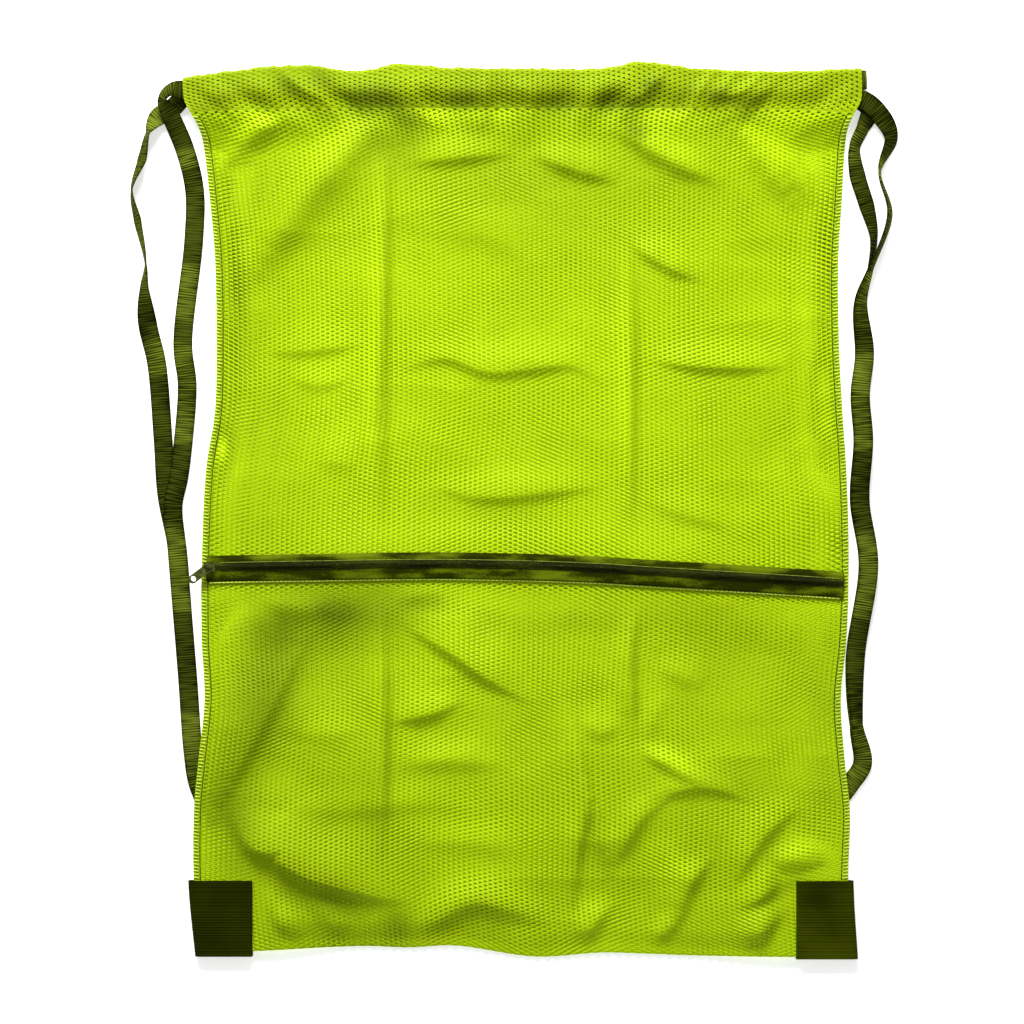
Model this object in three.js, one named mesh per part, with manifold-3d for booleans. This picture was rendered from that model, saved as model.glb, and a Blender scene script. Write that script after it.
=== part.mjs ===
// A net drawstring bag with a zipped front pocket, lying flat on its back.
// Millimetres: +X to the right of the bag's front, +Y towards its mouth, +Z out of its front.
import * as THREE from "three";
import Module from "manifold-3d";

const wasm = await Module();
wasm.setup();

const { smoothstep, lerp, degToRad } = THREE.MathUtils;

// Thicknesses and clearances
const CLOTH = 1.0;
const GAP = 0.3;
const STEP_UP = CLOTH + GAP;

// Grid of the panels: columns across, and rows in each stretch from the bottom to the mouth
const COLUMNS = 26;
const BACK_COLUMNS = 13;
const POCKET_ROWS = 12;
const UPPER_ROWS = 16;

// Loft of the empty bag
const DOME = 13.4;
const DOME_SIDE = 0.28;
const DOME_FOOT = 130;
const POCKET_RISE = 2.4;
const MOUTH_GAP = 7.0;
const MOUTH_END_GAP = 0.4;
const HEM_BLEND = 30;
const ZIP_SHELF = { height: 3.0, reach: 30 };

// Distances over which the folds fade in, and shares of the bag's width or of a fold's length
const FADE_ABOVE_ZIP = { none: 14, full: 40 };
const FADE_BELOW_ZIP = { none: 27, full: 52 };
const FADE_AT_SEAM = 16;
const FADE_AT_FOOT = 24;
const FADE_AT_PATCH = { none: 12, full: 36 };
const FADE_AT_SIDE = 0.05;
const FADE_AT_FOLD_END = 0.55;

// Drawstring tunnel along each panel's top edge
const TUNNEL_HOLLOW = 4.0;
const TUNNEL_PINCH = 2.5;
const FOLD_RADIUS = (TUNNEL_HOLLOW + CLOTH) / 2;
const LEAF_INSET = 4.0;
const BACK_HEM_TOP = TUNNEL_HOLLOW + 2 * CLOTH;

// Room under the lower corners for the strap ends
const CORNER_LIFT = 3.4;
const CORNER_REACH = { full: 50, none: 110 };
const CORNER_HEIGHT = { full: -143, none: -95 };

// Zip: half widths measured from the middle of the coil
const POCKET_TOP = -4.0;
const TAPE_UPPER_EDGE = 7.4;
const TAPE_SHOULDER = 4.2;
const TAPE_LOWER_EDGE = -10.2;
const TAPE_MEETING = 0.3;
const TAPE_PARTING = 1.1;
const COIL = { half: 2.0, height: 1.8 };
const ZIP_ENDS = { left: 0.008, right: 0.9925 };

// Slider and pull
const SLIDER = { x: -213.9, length: 8, width: 7, plate: 0.9, corner: 1.6 };
const SLIDER_UNDER_PLATE = { bottom: 1.15, top: 1.75, width: 6.4 };
const SLIDER_TOP_PLATE = 5.6;
const SLIDER_POST = { x: -2.2, length: 1.6, width: 1.2 };
const CROWN = { length: 4.4, leg: 0.6, hole: 2.0, bar: 0.7, thickness: 1.0 };
const PULL = { angle: 217, length: 17, half: 3.0, thickness: 1.0, bar: 1.0, eye: 3.0, eyeHalf: 2.2 };
const PULL_HOLE = { x: 13.4, along: 1.7, across: 2.0 };
const WELD = 0.1;

// Corner patches
const PATCH_WIDTH = 40.5;
const PATCH_FLAT_SHARE = 0.98;
const PATCHES = {
  left: { side: -1, inner: -184.4, top: -252.4, bottom: -304.4 },
  right: { side: 1, inner: 187.4, top: -252.6, bottom: -306.2 },
};

// Webbing drawstrings
const WEBBING = { width: 13, thickness: 1.2 };
const WEBBING_PITCH = 1.55;
const WEBBING_STEP = 24;
const WEBBING_STEEP = 0.3;
const ON_FLOOR = 0.3;

// Side edges of the bag
const EDGES = [
  { y: 307.4, left: -231.7, right: 231.7 },
  { y: 282.1, left: -231.0, right: 231.7 },
  { y: 273.2, left: -226.9, right: 227.6 },
  { y: 264.9, left: -222.1, right: 223.6 },
  { y: 254.7, left: -218.7, right: 221.4 },
  { y: 213.5, left: -213.9, right: 219.0 },
  { y: 172.4, left: -210.4, right: 216.6 },
  { y: 117.6, left: -209.4, right: 217.0 },
  { y: 69.6, left: -210.4, right: 219.4 },
  { y: 28.4, left: -216.6, right: 222.1 },
  { y: -33.2, left: -219.4, right: 223.8 },
  { y: -88.1, left: -219.4, right: 222.0 },
  { y: -129.2, left: -217.3, right: 218.0 },
  { y: -170.3, left: -221.4, right: 220.7 },
  { y: -204.6, left: -224.5, right: 224.2 },
  { y: -255.0, left: -224.4, right: 223.0 },
  { y: -307.4, left: -219.4, right: 226.0 },
];

// Lines across the bag: bottom edge, middle of the zip's coil, tunnel seam and top edge
const LINES = [
  { x: -231.7, bottom: -302.0, coil: -38.0, seam: 273.2, top: 297.2 },
  { x: -189.9, bottom: -300.6, coil: -37.0, seam: 274.5, top: 302.7 },
  { x: -148.1, bottom: -298.5, coil: -36.3, seam: 275.2, top: 305.4 },
  { x: -111.1, bottom: -297.5, coil: -35.6, seam: 275.2, top: 301.3 },
  { x: -83.6, bottom: -298.5, coil: -35.3, seam: 275.2, top: 306.1 },
  { x: -49.4, bottom: -297.2, coil: -35.3, seam: 275.2, top: 303.3 },
  { x: 5.5, bottom: -304.7, coil: -36.3, seam: 275.2, top: 302.7 },
  { x: 53.5, bottom: -302.0, coil: -38.0, seam: 275.2, top: 302.7 },
  { x: 80.9, bottom: -302.6, coil: -39.8, seam: 275.2, top: 307.4 },
  { x: 122.0, bottom: -304.0, coil: -42.2, seam: 275.2, top: 302.7 },
  { x: 190.6, bottom: -304.7, coil: -46.3, seam: 274.5, top: 301.3 },
  { x: 231.7, bottom: -304.7, coil: -49.0, seam: 272.5, top: 304.0 },
];

// Folds: middle of the ridge, length, direction in degrees, bow of its line, width and height
const UPPER_FOLDS = [
  { x: -54, y: 100, length: 78, turn: 0, bow: 6, width: 11, height: 3.8 },
  { x: 24, y: 96, length: 84, turn: -9, bow: 7, width: 11, height: 3.8 },
  { x: 132, y: 101, length: 110, turn: -3, bow: 1, width: 10, height: 3.8 },
  { x: -142, y: 112, length: 80, turn: 4, bow: 1, width: 10, height: 2.4 },
  { x: -140, y: 94, length: 56, turn: 3, bow: -5, width: 9, height: 1.6 },
  { x: -41, y: 241, length: 84, turn: 5, bow: 2, width: 10, height: 3.6 },
  { x: 36, y: 235, length: 70, turn: -19, bow: 1, width: 10, height: 4.2 },
  { x: 97, y: 173, length: 68, turn: -29, bow: -3, width: 10, height: 3.8 },
  { x: 98, y: 244, length: 92, turn: -27, bow: 0, width: 9, height: 4.2 },
  { x: -4, y: 18, length: 126, turn: 1, bow: -7, width: 11, height: 3.8 },
  { x: -142, y: 214, length: 168, turn: 50, bow: 5, width: 15, height: 5.4 },
  { x: 167, y: 238, length: 90, turn: -53, bow: 3, width: 13, height: 4.6 },
  { x: -95, y: 108, length: 300, turn: 90, bow: 0, width: 12, height: 2.6 },
  { x: 73, y: 88, length: 280, turn: 90, bow: 0, width: 11, height: 2.0 },
  { x: -118, y: 256, length: 40, turn: 80, bow: 0, width: 9, height: 2.0 },
  { x: -83, y: 258, length: 34, turn: 95, bow: 0, width: 9, height: 2.0 },
  { x: 52, y: 259, length: 32, turn: 70, bow: 0, width: 9, height: 2.0 },
  { x: 78, y: 254, length: 40, turn: 100, bow: 0, width: 9, height: 2.0 },
  { x: 122, y: 258, length: 32, turn: 75, bow: 0, width: 9, height: 2.0 },
];
const POCKET_FOLDS = [
  { x: -36, y: -101, length: 114, turn: -31, bow: -2, width: 13, height: 5.2 },
  { x: -65, y: -136, length: 60, turn: 17, bow: -1, width: 10, height: 3.8 },
  { x: -179, y: -144, length: 163, turn: 62, bow: 2, width: 15, height: 5.4 },
  { x: -130, y: -246, length: 136, turn: -19, bow: -4, width: 18, height: 6.6 },
  { x: -84, y: -276, length: 40, turn: -60, bow: 0, width: 12, height: 2.8 },
  { x: -28, y: -278, length: 92, turn: 8, bow: 12, width: 12, height: 5.0 },
  { x: 40, y: -200, length: 140, turn: -84, bow: -5, width: 10, height: 2.6 },
  { x: 62, y: -212, length: 74, turn: -70, bow: 0, width: 9, height: 2.2 },
  { x: 70, y: -220, length: 62, turn: 58, bow: 0, width: 9, height: 2.4 },
  { x: 124, y: -199, length: 84, turn: 2, bow: 12, width: 11, height: 4.2 },
  { x: 54, y: -139, length: 34, turn: 4, bow: -8, width: 8, height: 2.8 },
  { x: 72, y: -108, length: 100, turn: 92, bow: 3, width: 10, height: 1.6 },
  { x: 108, y: -262, length: 70, turn: 68, bow: 3, width: 11, height: 3.0 },
  { x: 166, y: -230, length: 84, turn: 50, bow: 4, width: 12, height: 4.6 },
  { x: 45, y: -280, length: 36, turn: 62, bow: 0, width: 9, height: 2.2 },
  { x: -150, y: -76, length: 90, turn: -12, bow: -6, width: 13, height: 2.4 },
  { x: -96, y: -146, length: 180, turn: 90, bow: 0, width: 11, height: 2.2 },
];
const FOLD_STEEP_SIDE = 0.55;

// Strap routes. Where both runs of a strap lie on each other the row is given once, from the
// corner upwards, with the upper run's bow off the lower one. Rise is the height of the lowest
// edge above the floor, and lean the webbing's turn out of the flat, in degrees.
const LEFT_ROUTE = {
  frontEnd: [
    { x: -199.0, y: -261.5, rise: 1.3, lean: 0 },
    { x: -208.5, y: -221.0, rise: 1.8, lean: 0 },
    { x: -212.0, y: -209.0, rise: 1.8, lean: 0 },
  ],
  stacked: [
    { x: -222.0, y: -186.0, bow: 0, lean: 0 },
    { x: -225.5, y: -163.5, bow: 0, lean: 0 },
    { x: -229.0, y: -115.5, bow: 0, lean: 0 },
    { x: -233.5, y: -60.5, bow: 0, lean: 0 },
    { x: -236.5, y: -24.0, bow: 0, lean: 0 },
  ],
  front: [
    { x: -239.0, y: 4.0, rise: 1.85, lean: 0 },
    { x: -235.0, y: 24.0, rise: 1.85, lean: 0 },
    { x: -232.0, y: 49.0, rise: 1.6, lean: 0 },
    { x: -229.5, y: 86.5, rise: 0.4, lean: 0 },
    { x: -232.5, y: 115.0, rise: 0.3, lean: 0 },
    { x: -225.0, y: 186.0, rise: 0.3, lean: 0 },
    { x: -224.5, y: 220.5, rise: 0.3, lean: 0 },
    { x: -231.0, y: 248.0, rise: 0.5, lean: 0 },
    { x: -240.0, y: 270.0, rise: 5.0, lean: 15 },
    { x: -245.5, y: 282.0, rise: 6.0, lean: 60 },
    { x: -240.0, y: 288.0, rise: 8.8, lean: 45 },
    { x: -233.5, y: 288.0, rise: 9.6, lean: 0 },
  ],
  tunnels: [
    { x: -185.0, y: 288.5, rise: 12.0, lean: 0 },
    { x: -110.0, y: 290.0, rise: 14.7, lean: 0 },
    { x: 0.0, y: 291.5, rise: 16.2, lean: 0 },
    { x: 110.0, y: 292.0, rise: 14.7, lean: 0 },
    { x: 185.0, y: 291.0, rise: 12.0, lean: 0 },
    { x: 222.0, y: 293.8, rise: 10.15, lean: 0 },
    { x: 231.0, y: 295.0, rise: 9.5, lean: 0 },
    { x: 235.2, y: 295.2, rise: 5.6, lean: 0 },
    { x: 231.0, y: 295.0, rise: 1.6, lean: 0 },
    { x: 222.0, y: 293.8, rise: 1.5, lean: 0 },
    { x: 150.0, y: 291.0, rise: 1.5, lean: 0 },
    { x: -150.0, y: 286.0, rise: 1.5, lean: 0 },
    { x: -230.0, y: 284.5, rise: 1.5, lean: 0 },
  ],
  back: [
    { x: -239.0, y: 277.0, rise: 0.5, lean: 0 },
    { x: -249.0, y: 270.5, rise: 0.3, lean: 5 },
    { x: -256.0, y: 259.0, rise: 0.3, lean: 75 },
    { x: -260.0, y: 241.0, rise: 0.3, lean: 57 },
    { x: -267.0, y: 220.0, rise: 0.3, lean: 83 },
    { x: -263.0, y: 199.0, rise: 0.3, lean: 64 },
    { x: -257.5, y: 170.0, rise: 0.3, lean: 84 },
    { x: -258.5, y: 152.0, rise: 0.3, lean: 58 },
    { x: -256.5, y: 128.0, rise: 0.3, lean: 0 },
    { x: -250.5, y: 102.0, rise: 0.3, lean: 0 },
    { x: -246.0, y: 49.0, rise: 0.3, lean: 0 },
    { x: -243.5, y: 12.0, rise: 0.3, lean: 0 },
  ],
  backEnd: [
    { x: -213.5, y: -209.0, rise: 0.3, lean: 0 },
    { x: -217.0, y: -221.0, rise: 0.3, lean: 0 },
    { x: -214.5, y: -261.5, rise: 1.3, lean: 0 },
  ],
};
const RIGHT_ROUTE = {
  frontEnd: [
    { x: 201.0, y: -261.5, rise: 1.3, lean: 0 },
    { x: 209.0, y: -221.0, rise: 1.8, lean: 0 },
    { x: 211.5, y: -206.0, rise: 1.8, lean: 0 },
  ],
  stacked: [
    { x: 224.5, y: -187.0, bow: 0, lean: 0 },
    { x: 233.0, y: -173.0, bow: 0, lean: -4 },
    { x: 228.0, y: -146.0, bow: 0, lean: -50 },
    { x: 228.0, y: -100.0, bow: 0.8, lean: -8 },
    { x: 237.0, y: -36.0, bow: 6.0, lean: 0 },
    { x: 231.0, y: 8.0, bow: 6.5, lean: 0 },
    { x: 233.5, y: 49.0, bow: 6.0, lean: 0 },
    { x: 231.5, y: 80.0, bow: 3.2, lean: 0 },
    { x: 234.5, y: 108.0, bow: 0.8, lean: 0 },
    { x: 231.0, y: 143.0, bow: 0, lean: -50 },
    { x: 237.5, y: 166.0, bow: 0, lean: -77 },
  ],
  front: [
    { x: 251.5, y: 204.0, rise: 0.3, lean: -71 },
    { x: 244.5, y: 233.0, rise: 0.3, lean: -80 },
    { x: 252.5, y: 256.0, rise: 0.6, lean: -40 },
    { x: 246.0, y: 270.0, rise: 5.0, lean: 0 },
    { x: 232.5, y: 281.5, rise: 7.9, lean: 0 },
  ],
  tunnels: [
    { x: 185.0, y: 284.2, rise: 10.3, lean: 0 },
    { x: 110.0, y: 285.0, rise: 13.0, lean: 0 },
    { x: 0.0, y: 285.5, rise: 14.5, lean: 0 },
    { x: -110.0, y: 285.5, rise: 13.0, lean: 0 },
    { x: -185.0, y: 285.5, rise: 10.3, lean: 0 },
    { x: -216.0, y: 285.5, rise: 8.7, lean: 0 },
    { x: -227.0, y: 285.5, rise: 8.0, lean: 0 },
    { x: -230.4, y: 285.5, rise: 5.6, lean: 0 },
    { x: -227.0, y: 285.5, rise: 3.25, lean: 0 },
    { x: -216.0, y: 285.5, rise: 3.2, lean: 0 },
    { x: 150.0, y: 285.0, rise: 3.2, lean: 0 },
    { x: 205.0, y: 283.4, rise: 3.2, lean: 0 },
    { x: 231.0, y: 281.5, rise: 3.2, lean: 0 },
  ],
  back: [
    { x: 238.0, y: 275.0, rise: 1.2, lean: -5 },
    { x: 233.0, y: 262.0, rise: 0.3, lean: -45 },
    { x: 227.5, y: 249.0, rise: 0.3, lean: -52 },
    { x: 229.5, y: 230.5, rise: 0.3, lean: -26 },
    { x: 236.0, y: 209.0, rise: 0.3, lean: -30 },
    { x: 240.5, y: 187.0, rise: 0.3, lean: -64 },
  ],
  backEnd: [
    { x: 212.5, y: -206.0, rise: 0.3, lean: 0 },
    { x: 216.5, y: -221.0, rise: 0.3, lean: 0 },
    { x: 216.5, y: -261.5, rise: 1.3, lean: 0 },
  ],
};

const MATERIALS = {
  net: { color: 0xb4d61a, roughness: 0.75, metalness: 0.0 },
  webbing: { color: 0x4a5510, roughness: 0.6, metalness: 0.0 },
  patch: { color: 0x2a3104, roughness: 0.65, metalness: 0.0 },
  tape: { color: 0x3c4609, roughness: 0.7, metalness: 0.0 },
  coil: { color: 0x343c0c, roughness: 0.4, metalness: 0.0 },
  metal: { color: 0x3a4018, roughness: 0.35, metalness: 0.6 },
};

// A smooth curve through one column of a table, as a function of another column
function curveOf(rows, key, column) {
  const sorted = [...rows].sort((a, b) => a[key] - b[key]);
  const at = (i) => sorted[Math.min(Math.max(i, 0), sorted.length - 1)];
  const slope = (i) => (at(i + 1)[column] - at(i - 1)[column]) / (at(i + 1)[key] - at(i - 1)[key]);
  return (value) => {
    let i = 0;
    while (i < sorted.length - 2 && value > sorted[i + 1][key]) i += 1;
    const span = at(i + 1)[key] - at(i)[key];
    const t = Math.min(Math.max((value - at(i)[key]) / span, 0), 1);
    const bend = (1 - t) * slope(i) * span - t * slope(i + 1) * span;
    const chord = (1 - t) * at(i)[column] + t * at(i + 1)[column];
    const lean = (at(i + 1)[column] - at(i)[column]) * (2 * t - 1);
    return chord + t * (1 - t) * (bend + lean);
  };
}

const leftEdge = curveOf(EDGES, "y", "left");
const rightEdge = curveOf(EDGES, "y", "right");
const lineCurves = {
  bottom: curveOf(LINES, "x", "bottom"),
  coil: curveOf(LINES, "x", "coil"),
  seam: curveOf(LINES, "x", "seam"),
  top: curveOf(LINES, "x", "top"),
};
const HALF_WIDTH = LINES[LINES.length - 1].x;

// A line's height at a share of the bag's width, and the x there
const lineAt = (name, u) => lineCurves[name](lerp(-HALF_WIDTH, HALF_WIDTH, u));
const acrossAt = (u, y) => lerp(leftEdge(y), rightEdge(y), u);
const shareAt = (x, y) => (x - leftEdge(y)) / (rightEdge(y) - leftEdge(y));

// Height that one fold adds at a point: a ridge that falls more steeply on its lower side
function foldHeight(fold, x, y) {
  const turn = degToRad(fold.turn);
  const along = (x - fold.x) * Math.cos(turn) + (y - fold.y) * Math.sin(turn);
  const offset = (y - fold.y) * Math.cos(turn) - (x - fold.x) * Math.sin(turn);
  const reach = Math.min(Math.abs(along) / (fold.length / 2), 1);
  const across = offset - fold.bow * (1 - reach * reach);
  const width = across < 0 ? fold.width * FOLD_STEEP_SIDE : fold.width;
  return fold.height * Math.exp(-((across / width) ** 2)) * (1 - smoothstep(reach, FADE_AT_FOLD_END, 1));
}
const foldsAt = (folds, x, y) => folds.reduce((sum, fold) => sum + foldHeight(fold, x, y), 0);

// Heights of the middle of each cloth layer
const sideShare = (u) => smoothstep(Math.min(u, 1 - u), 0, DOME_SIDE);

function cornerLift(u, y) {
  const inwards = Math.min(u, 1 - u) * (rightEdge(y) - leftEdge(y));
  const nearSide = 1 - smoothstep(inwards, CORNER_REACH.full, CORNER_REACH.none);
  return CORNER_LIFT * nearSide * (1 - smoothstep(y, CORNER_HEIGHT.full, CORNER_HEIGHT.none));
}

const backHeight = (u, y) => CLOTH / 2 + cornerLift(u, y);

function frontHemHeight(u) {
  const opening = MOUTH_END_GAP + (MOUTH_GAP - MOUTH_END_GAP) * (1 - (2 * u - 1) ** 2);
  return BACK_HEM_TOP + opening + CLOTH * 1.5 + TUNNEL_HOLLOW;
}

function frontBase(u, y) {
  const foot = smoothstep(y, lineAt("bottom", u), lineAt("bottom", u) + DOME_FOOT);
  const shelf = ZIP_SHELF.height * Math.exp(-(((y - lineAt("coil", u)) / ZIP_SHELF.reach) ** 2));
  const body = backHeight(u, y) + STEP_UP + (DOME * foot + shelf) * sideShare(u);
  const seam = lineAt("seam", u);
  return lerp(body, frontHemHeight(u), smoothstep(y, seam - HEM_BLEND, seam));
}

function frontHeight(u, y) {
  const aboveZip = smoothstep(y - lineAt("coil", u), FADE_ABOVE_ZIP.none, FADE_ABOVE_ZIP.full);
  const belowSeam = smoothstep(lineAt("seam", u) - y, 0, FADE_AT_SEAM);
  const inside = smoothstep(Math.min(u, 1 - u), 0, FADE_AT_SIDE);
  const folds = aboveZip > 0 ? foldsAt(UPPER_FOLDS, acrossAt(u, y), y) : 0;
  return frontBase(u, y) + folds * aboveZip * belowSeam * inside;
}

function patchShade(u, y) {
  const inwards = Math.min(u, 1 - u) * (rightEdge(y) - leftEdge(y));
  const { none, full } = FADE_AT_PATCH;
  const clearSide = smoothstep(inwards, PATCH_WIDTH + none, PATCH_WIDTH + full);
  const clearTop = smoothstep(y, PATCHES.left.top + none, PATCHES.left.top + full);
  return Math.max(clearSide, clearTop);
}

function pocketHeight(u, y) {
  const underZip = smoothstep(lineAt("coil", u) - y, FADE_BELOW_ZIP.none, FADE_BELOW_ZIP.full);
  const overFoot = smoothstep(y - lineAt("bottom", u), 0, FADE_AT_FOOT);
  const inside = smoothstep(Math.min(u, 1 - u), 0, FADE_AT_SIDE);
  const room = underZip * overFoot * inside * patchShade(u, y);
  const folds = foldsAt(POCKET_FOLDS, acrossAt(u, y), y);
  return frontBase(u, y) + STEP_UP + room * (POCKET_RISE * sideShare(u) + folds);
}

// A closed solid of even thickness along a surface, given as points at columns and rows
function sheetSolid(surface, columns, rows, thickness) {
  const points = rows.map((v) => columns.map((u) => surface(u, v)));
  const width = columns.length;
  const height = rows.length;
  const pick = (j, i) =>
    points[Math.min(Math.max(j, 0), height - 1)][Math.min(Math.max(i, 0), width - 1)];
  const corners = [];
  for (const side of [1, -1]) {
    for (let j = 0; j < height; j += 1) {
      for (let i = 0; i < width; i += 1) {
        const across = pick(j, i + 1).clone().sub(pick(j, i - 1));
        const along = pick(j + 1, i).clone().sub(pick(j - 1, i));
        const normal = across.cross(along).normalize();
        corners.push(points[j][i].clone().addScaledVector(normal, (side * thickness) / 2));
      }
    }
  }
  const faces = [];
  const upper = (j, i) => j * width + i;
  const lower = (j, i) => width * height + j * width + i;
  const lastColumn = width - 1;
  const lastRow = height - 1;
  const quad = (a, b, c, d) => faces.push(a, b, c, a, c, d);
  for (let j = 0; j < lastRow; j += 1) {
    for (let i = 0; i < lastColumn; i += 1) {
      quad(upper(j, i), upper(j, i + 1), upper(j + 1, i + 1), upper(j + 1, i));
      quad(lower(j, i), lower(j + 1, i), lower(j + 1, i + 1), lower(j, i + 1));
    }
    quad(upper(j, 0), upper(j + 1, 0), lower(j + 1, 0), lower(j, 0));
    quad(upper(j + 1, lastColumn), upper(j, lastColumn), lower(j, lastColumn), lower(j + 1, lastColumn));
  }
  for (let i = 0; i < lastColumn; i += 1) {
    quad(upper(0, i + 1), upper(0, i), lower(0, i), lower(0, i + 1));
    quad(upper(lastRow, i), upper(lastRow, i + 1), lower(lastRow, i + 1), lower(lastRow, i));
  }
  const geometry = new THREE.BufferGeometry().setFromPoints(corners);
  geometry.setIndex(faces);
  geometry.computeVertexNormals();
  return geometry;
}

const steps = (count, from = 0, to = 1) =>
  Array.from({ length: count + 1 }, (_, i) => lerp(from, to, i / count));

// Rows of a panel: 0 to 1 is bottom to pocket edge, 1 to 2 pocket edge to seam, 2 to 3 the tunnel
const bodyRows = [...steps(POCKET_ROWS), ...steps(UPPER_ROWS, 1, 2).slice(1)];

function bodyY(u, row) {
  const pocketEdge = lineAt("coil", u) + POCKET_TOP;
  if (row <= 1) return lerp(lineAt("bottom", u), pocketEdge, row);
  return lerp(pocketEdge, lineAt("seam", u), row - 1);
}

// The tunnel's section: up the outer wall, round the top fold and down the inner leaf to the seam
const hemSection = [
  { from: "seam", share: 0.5, depth: 0 },
  { from: "top", share: 1, depth: 0 },
  ...[45, 90, 135].map((turn) => ({ from: "fold", turn: degToRad(turn) })),
  { from: "top", share: 1, depth: 2 * FOLD_RADIUS },
  { from: "seam", share: 0.5, depth: 2 * FOLD_RADIUS },
  { from: "pinch", depth: 2 * FOLD_RADIUS },
  { from: "end", depth: STEP_UP + GAP },
];
const hemRows = hemSection.map((_, i) => 3 + i);

function hemPoint(u, row, outerHeight, inwards) {
  const section = hemSection[row - 3];
  const seam = lineAt("seam", u);
  const shoulder = lineAt("top", u) - CLOTH / 2 - FOLD_RADIUS;
  let y = lerp(seam, shoulder, section.share ?? 0);
  let depth = section.depth ?? 0;
  if (section.from === "fold") {
    y = shoulder + FOLD_RADIUS * Math.sin(section.turn);
    depth = FOLD_RADIUS * (1 - Math.cos(section.turn));
  }
  if (section.from === "pinch") y = seam + TUNNEL_PINCH;
  if (section.from === "end") y = seam + GAP;
  const inset = depth > FOLD_RADIUS ? LEAF_INSET * (1 - u) : 0;
  return new THREE.Vector3(acrossAt(u, y) + inset, y, outerHeight(u) + inwards * depth);
}

function panelSolid(height, hemHeight, inwards, columns) {
  const surface = (u, row) => {
    if (row > 2) return hemPoint(u, row, hemHeight, inwards);
    const y = bodyY(u, row);
    return new THREE.Vector3(acrossAt(u, y), y, height(u, y));
  };
  return sheetSolid(surface, steps(columns), [...bodyRows, ...hemRows], CLOTH);
}

function pocketSolid() {
  const surface = (u, row) => {
    const y = bodyY(u, row);
    return new THREE.Vector3(acrossAt(u, y), y, pocketHeight(u, y));
  };
  return sheetSolid(surface, steps(COLUMNS), steps(POCKET_ROWS), CLOTH);
}

// Zip tapes and coil, laid along the coil's line on the front panel
const zipColumns = steps(COLUMNS, ZIP_ENDS.left, ZIP_ENDS.right);
const zipPoint = (u, offset, lift) => {
  const y = lineAt("coil", u) + offset;
  return new THREE.Vector3(acrossAt(u, y), y, frontBase(u, lineAt("coil", u)) + lift);
};
const tapesPart = (u) =>
  1 - smoothstep(acrossAt(u, lineAt("coil", u)), SLIDER.x, SLIDER.x + SLIDER.length);

function upperTapeSolid() {
  const surface = (u, row) => {
    const meeting = TAPE_MEETING + TAPE_PARTING * tapesPart(u);
    const offset = [meeting, TAPE_SHOULDER, TAPE_UPPER_EDGE][row];
    return zipPoint(u, offset, row < 2 ? 2 * STEP_UP : STEP_UP);
  };
  return sheetSolid(surface, zipColumns, [0, 1, 2], CLOTH);
}

function lowerTapeSolid() {
  const surface = (u, row) => {
    const meeting = -TAPE_MEETING - TAPE_PARTING * tapesPart(u);
    return zipPoint(u, lerp(TAPE_LOWER_EDGE, meeting, row), 2 * STEP_UP);
  };
  return sheetSolid(surface, zipColumns, steps(1), CLOTH);
}

function coilSolid() {
  const start = shareAt(SLIDER.x + SLIDER_POST.x + SLIDER_POST.length + GAP, lineAt("coil", 0));
  const middle = 2 * STEP_UP + CLOTH / 2 + GAP + COIL.height / 2;
  const surface = (u, row) => zipPoint(u, lerp(-COIL.half, COIL.half, row), middle);
  return sheetSolid(surface, steps(COLUMNS, start, ZIP_ENDS.right), steps(1), COIL.height);
}

// Hard pieces: outlines extruded upwards, joined where they touch
function roundedPlate(length, width, corner) {
  const shape = new THREE.Shape();
  const x = length / 2;
  const y = width / 2;
  shape.moveTo(-x + corner, -y);
  shape.lineTo(x - corner, -y);
  shape.absarc(x - corner, -y + corner, corner, -Math.PI / 2, 0);
  shape.absarc(x - corner, y - corner, corner, 0, Math.PI / 2);
  shape.absarc(-x + corner, y - corner, corner, Math.PI / 2, Math.PI);
  shape.absarc(-x + corner, -y + corner, corner, Math.PI, 1.5 * Math.PI);
  return shape;
}

const extrude = (shape, depth, z) =>
  new THREE.ExtrudeGeometry(shape, { depth, bevelEnabled: false, curveSegments: 5 }).translate(0, 0, z);

function solidOf(geometry) {
  const plain = geometry.index ? geometry.toNonIndexed() : geometry;
  const position = plain.getAttribute("position");
  const keys = new Map();
  const vertices = [];
  const triangles = [];
  for (let i = 0; i < position.count; i += 1) {
    const point = [position.getX(i), position.getY(i), position.getZ(i)];
    const key = point.map((value) => value.toFixed(4)).join(" ");
    if (!keys.has(key)) {
      keys.set(key, vertices.length / 3);
      vertices.push(...point);
    }
    triangles.push(keys.get(key));
  }
  return new wasm.Manifold(
    new wasm.Mesh({
      numProp: 3,
      vertProperties: new Float32Array(vertices),
      triVerts: new Uint32Array(triangles),
    }),
  );
}

function joined(geometries) {
  const whole = geometries.map(solidOf).reduce((sum, solid) => sum.add(solid));
  const mesh = whole.getMesh();
  const geometry = new THREE.BufferGeometry();
  geometry.setAttribute("position", new THREE.BufferAttribute(new Float32Array(mesh.vertProperties), 3));
  geometry.setIndex([...mesh.triVerts]);
  geometry.computeVertexNormals();
  return geometry;
}

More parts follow.
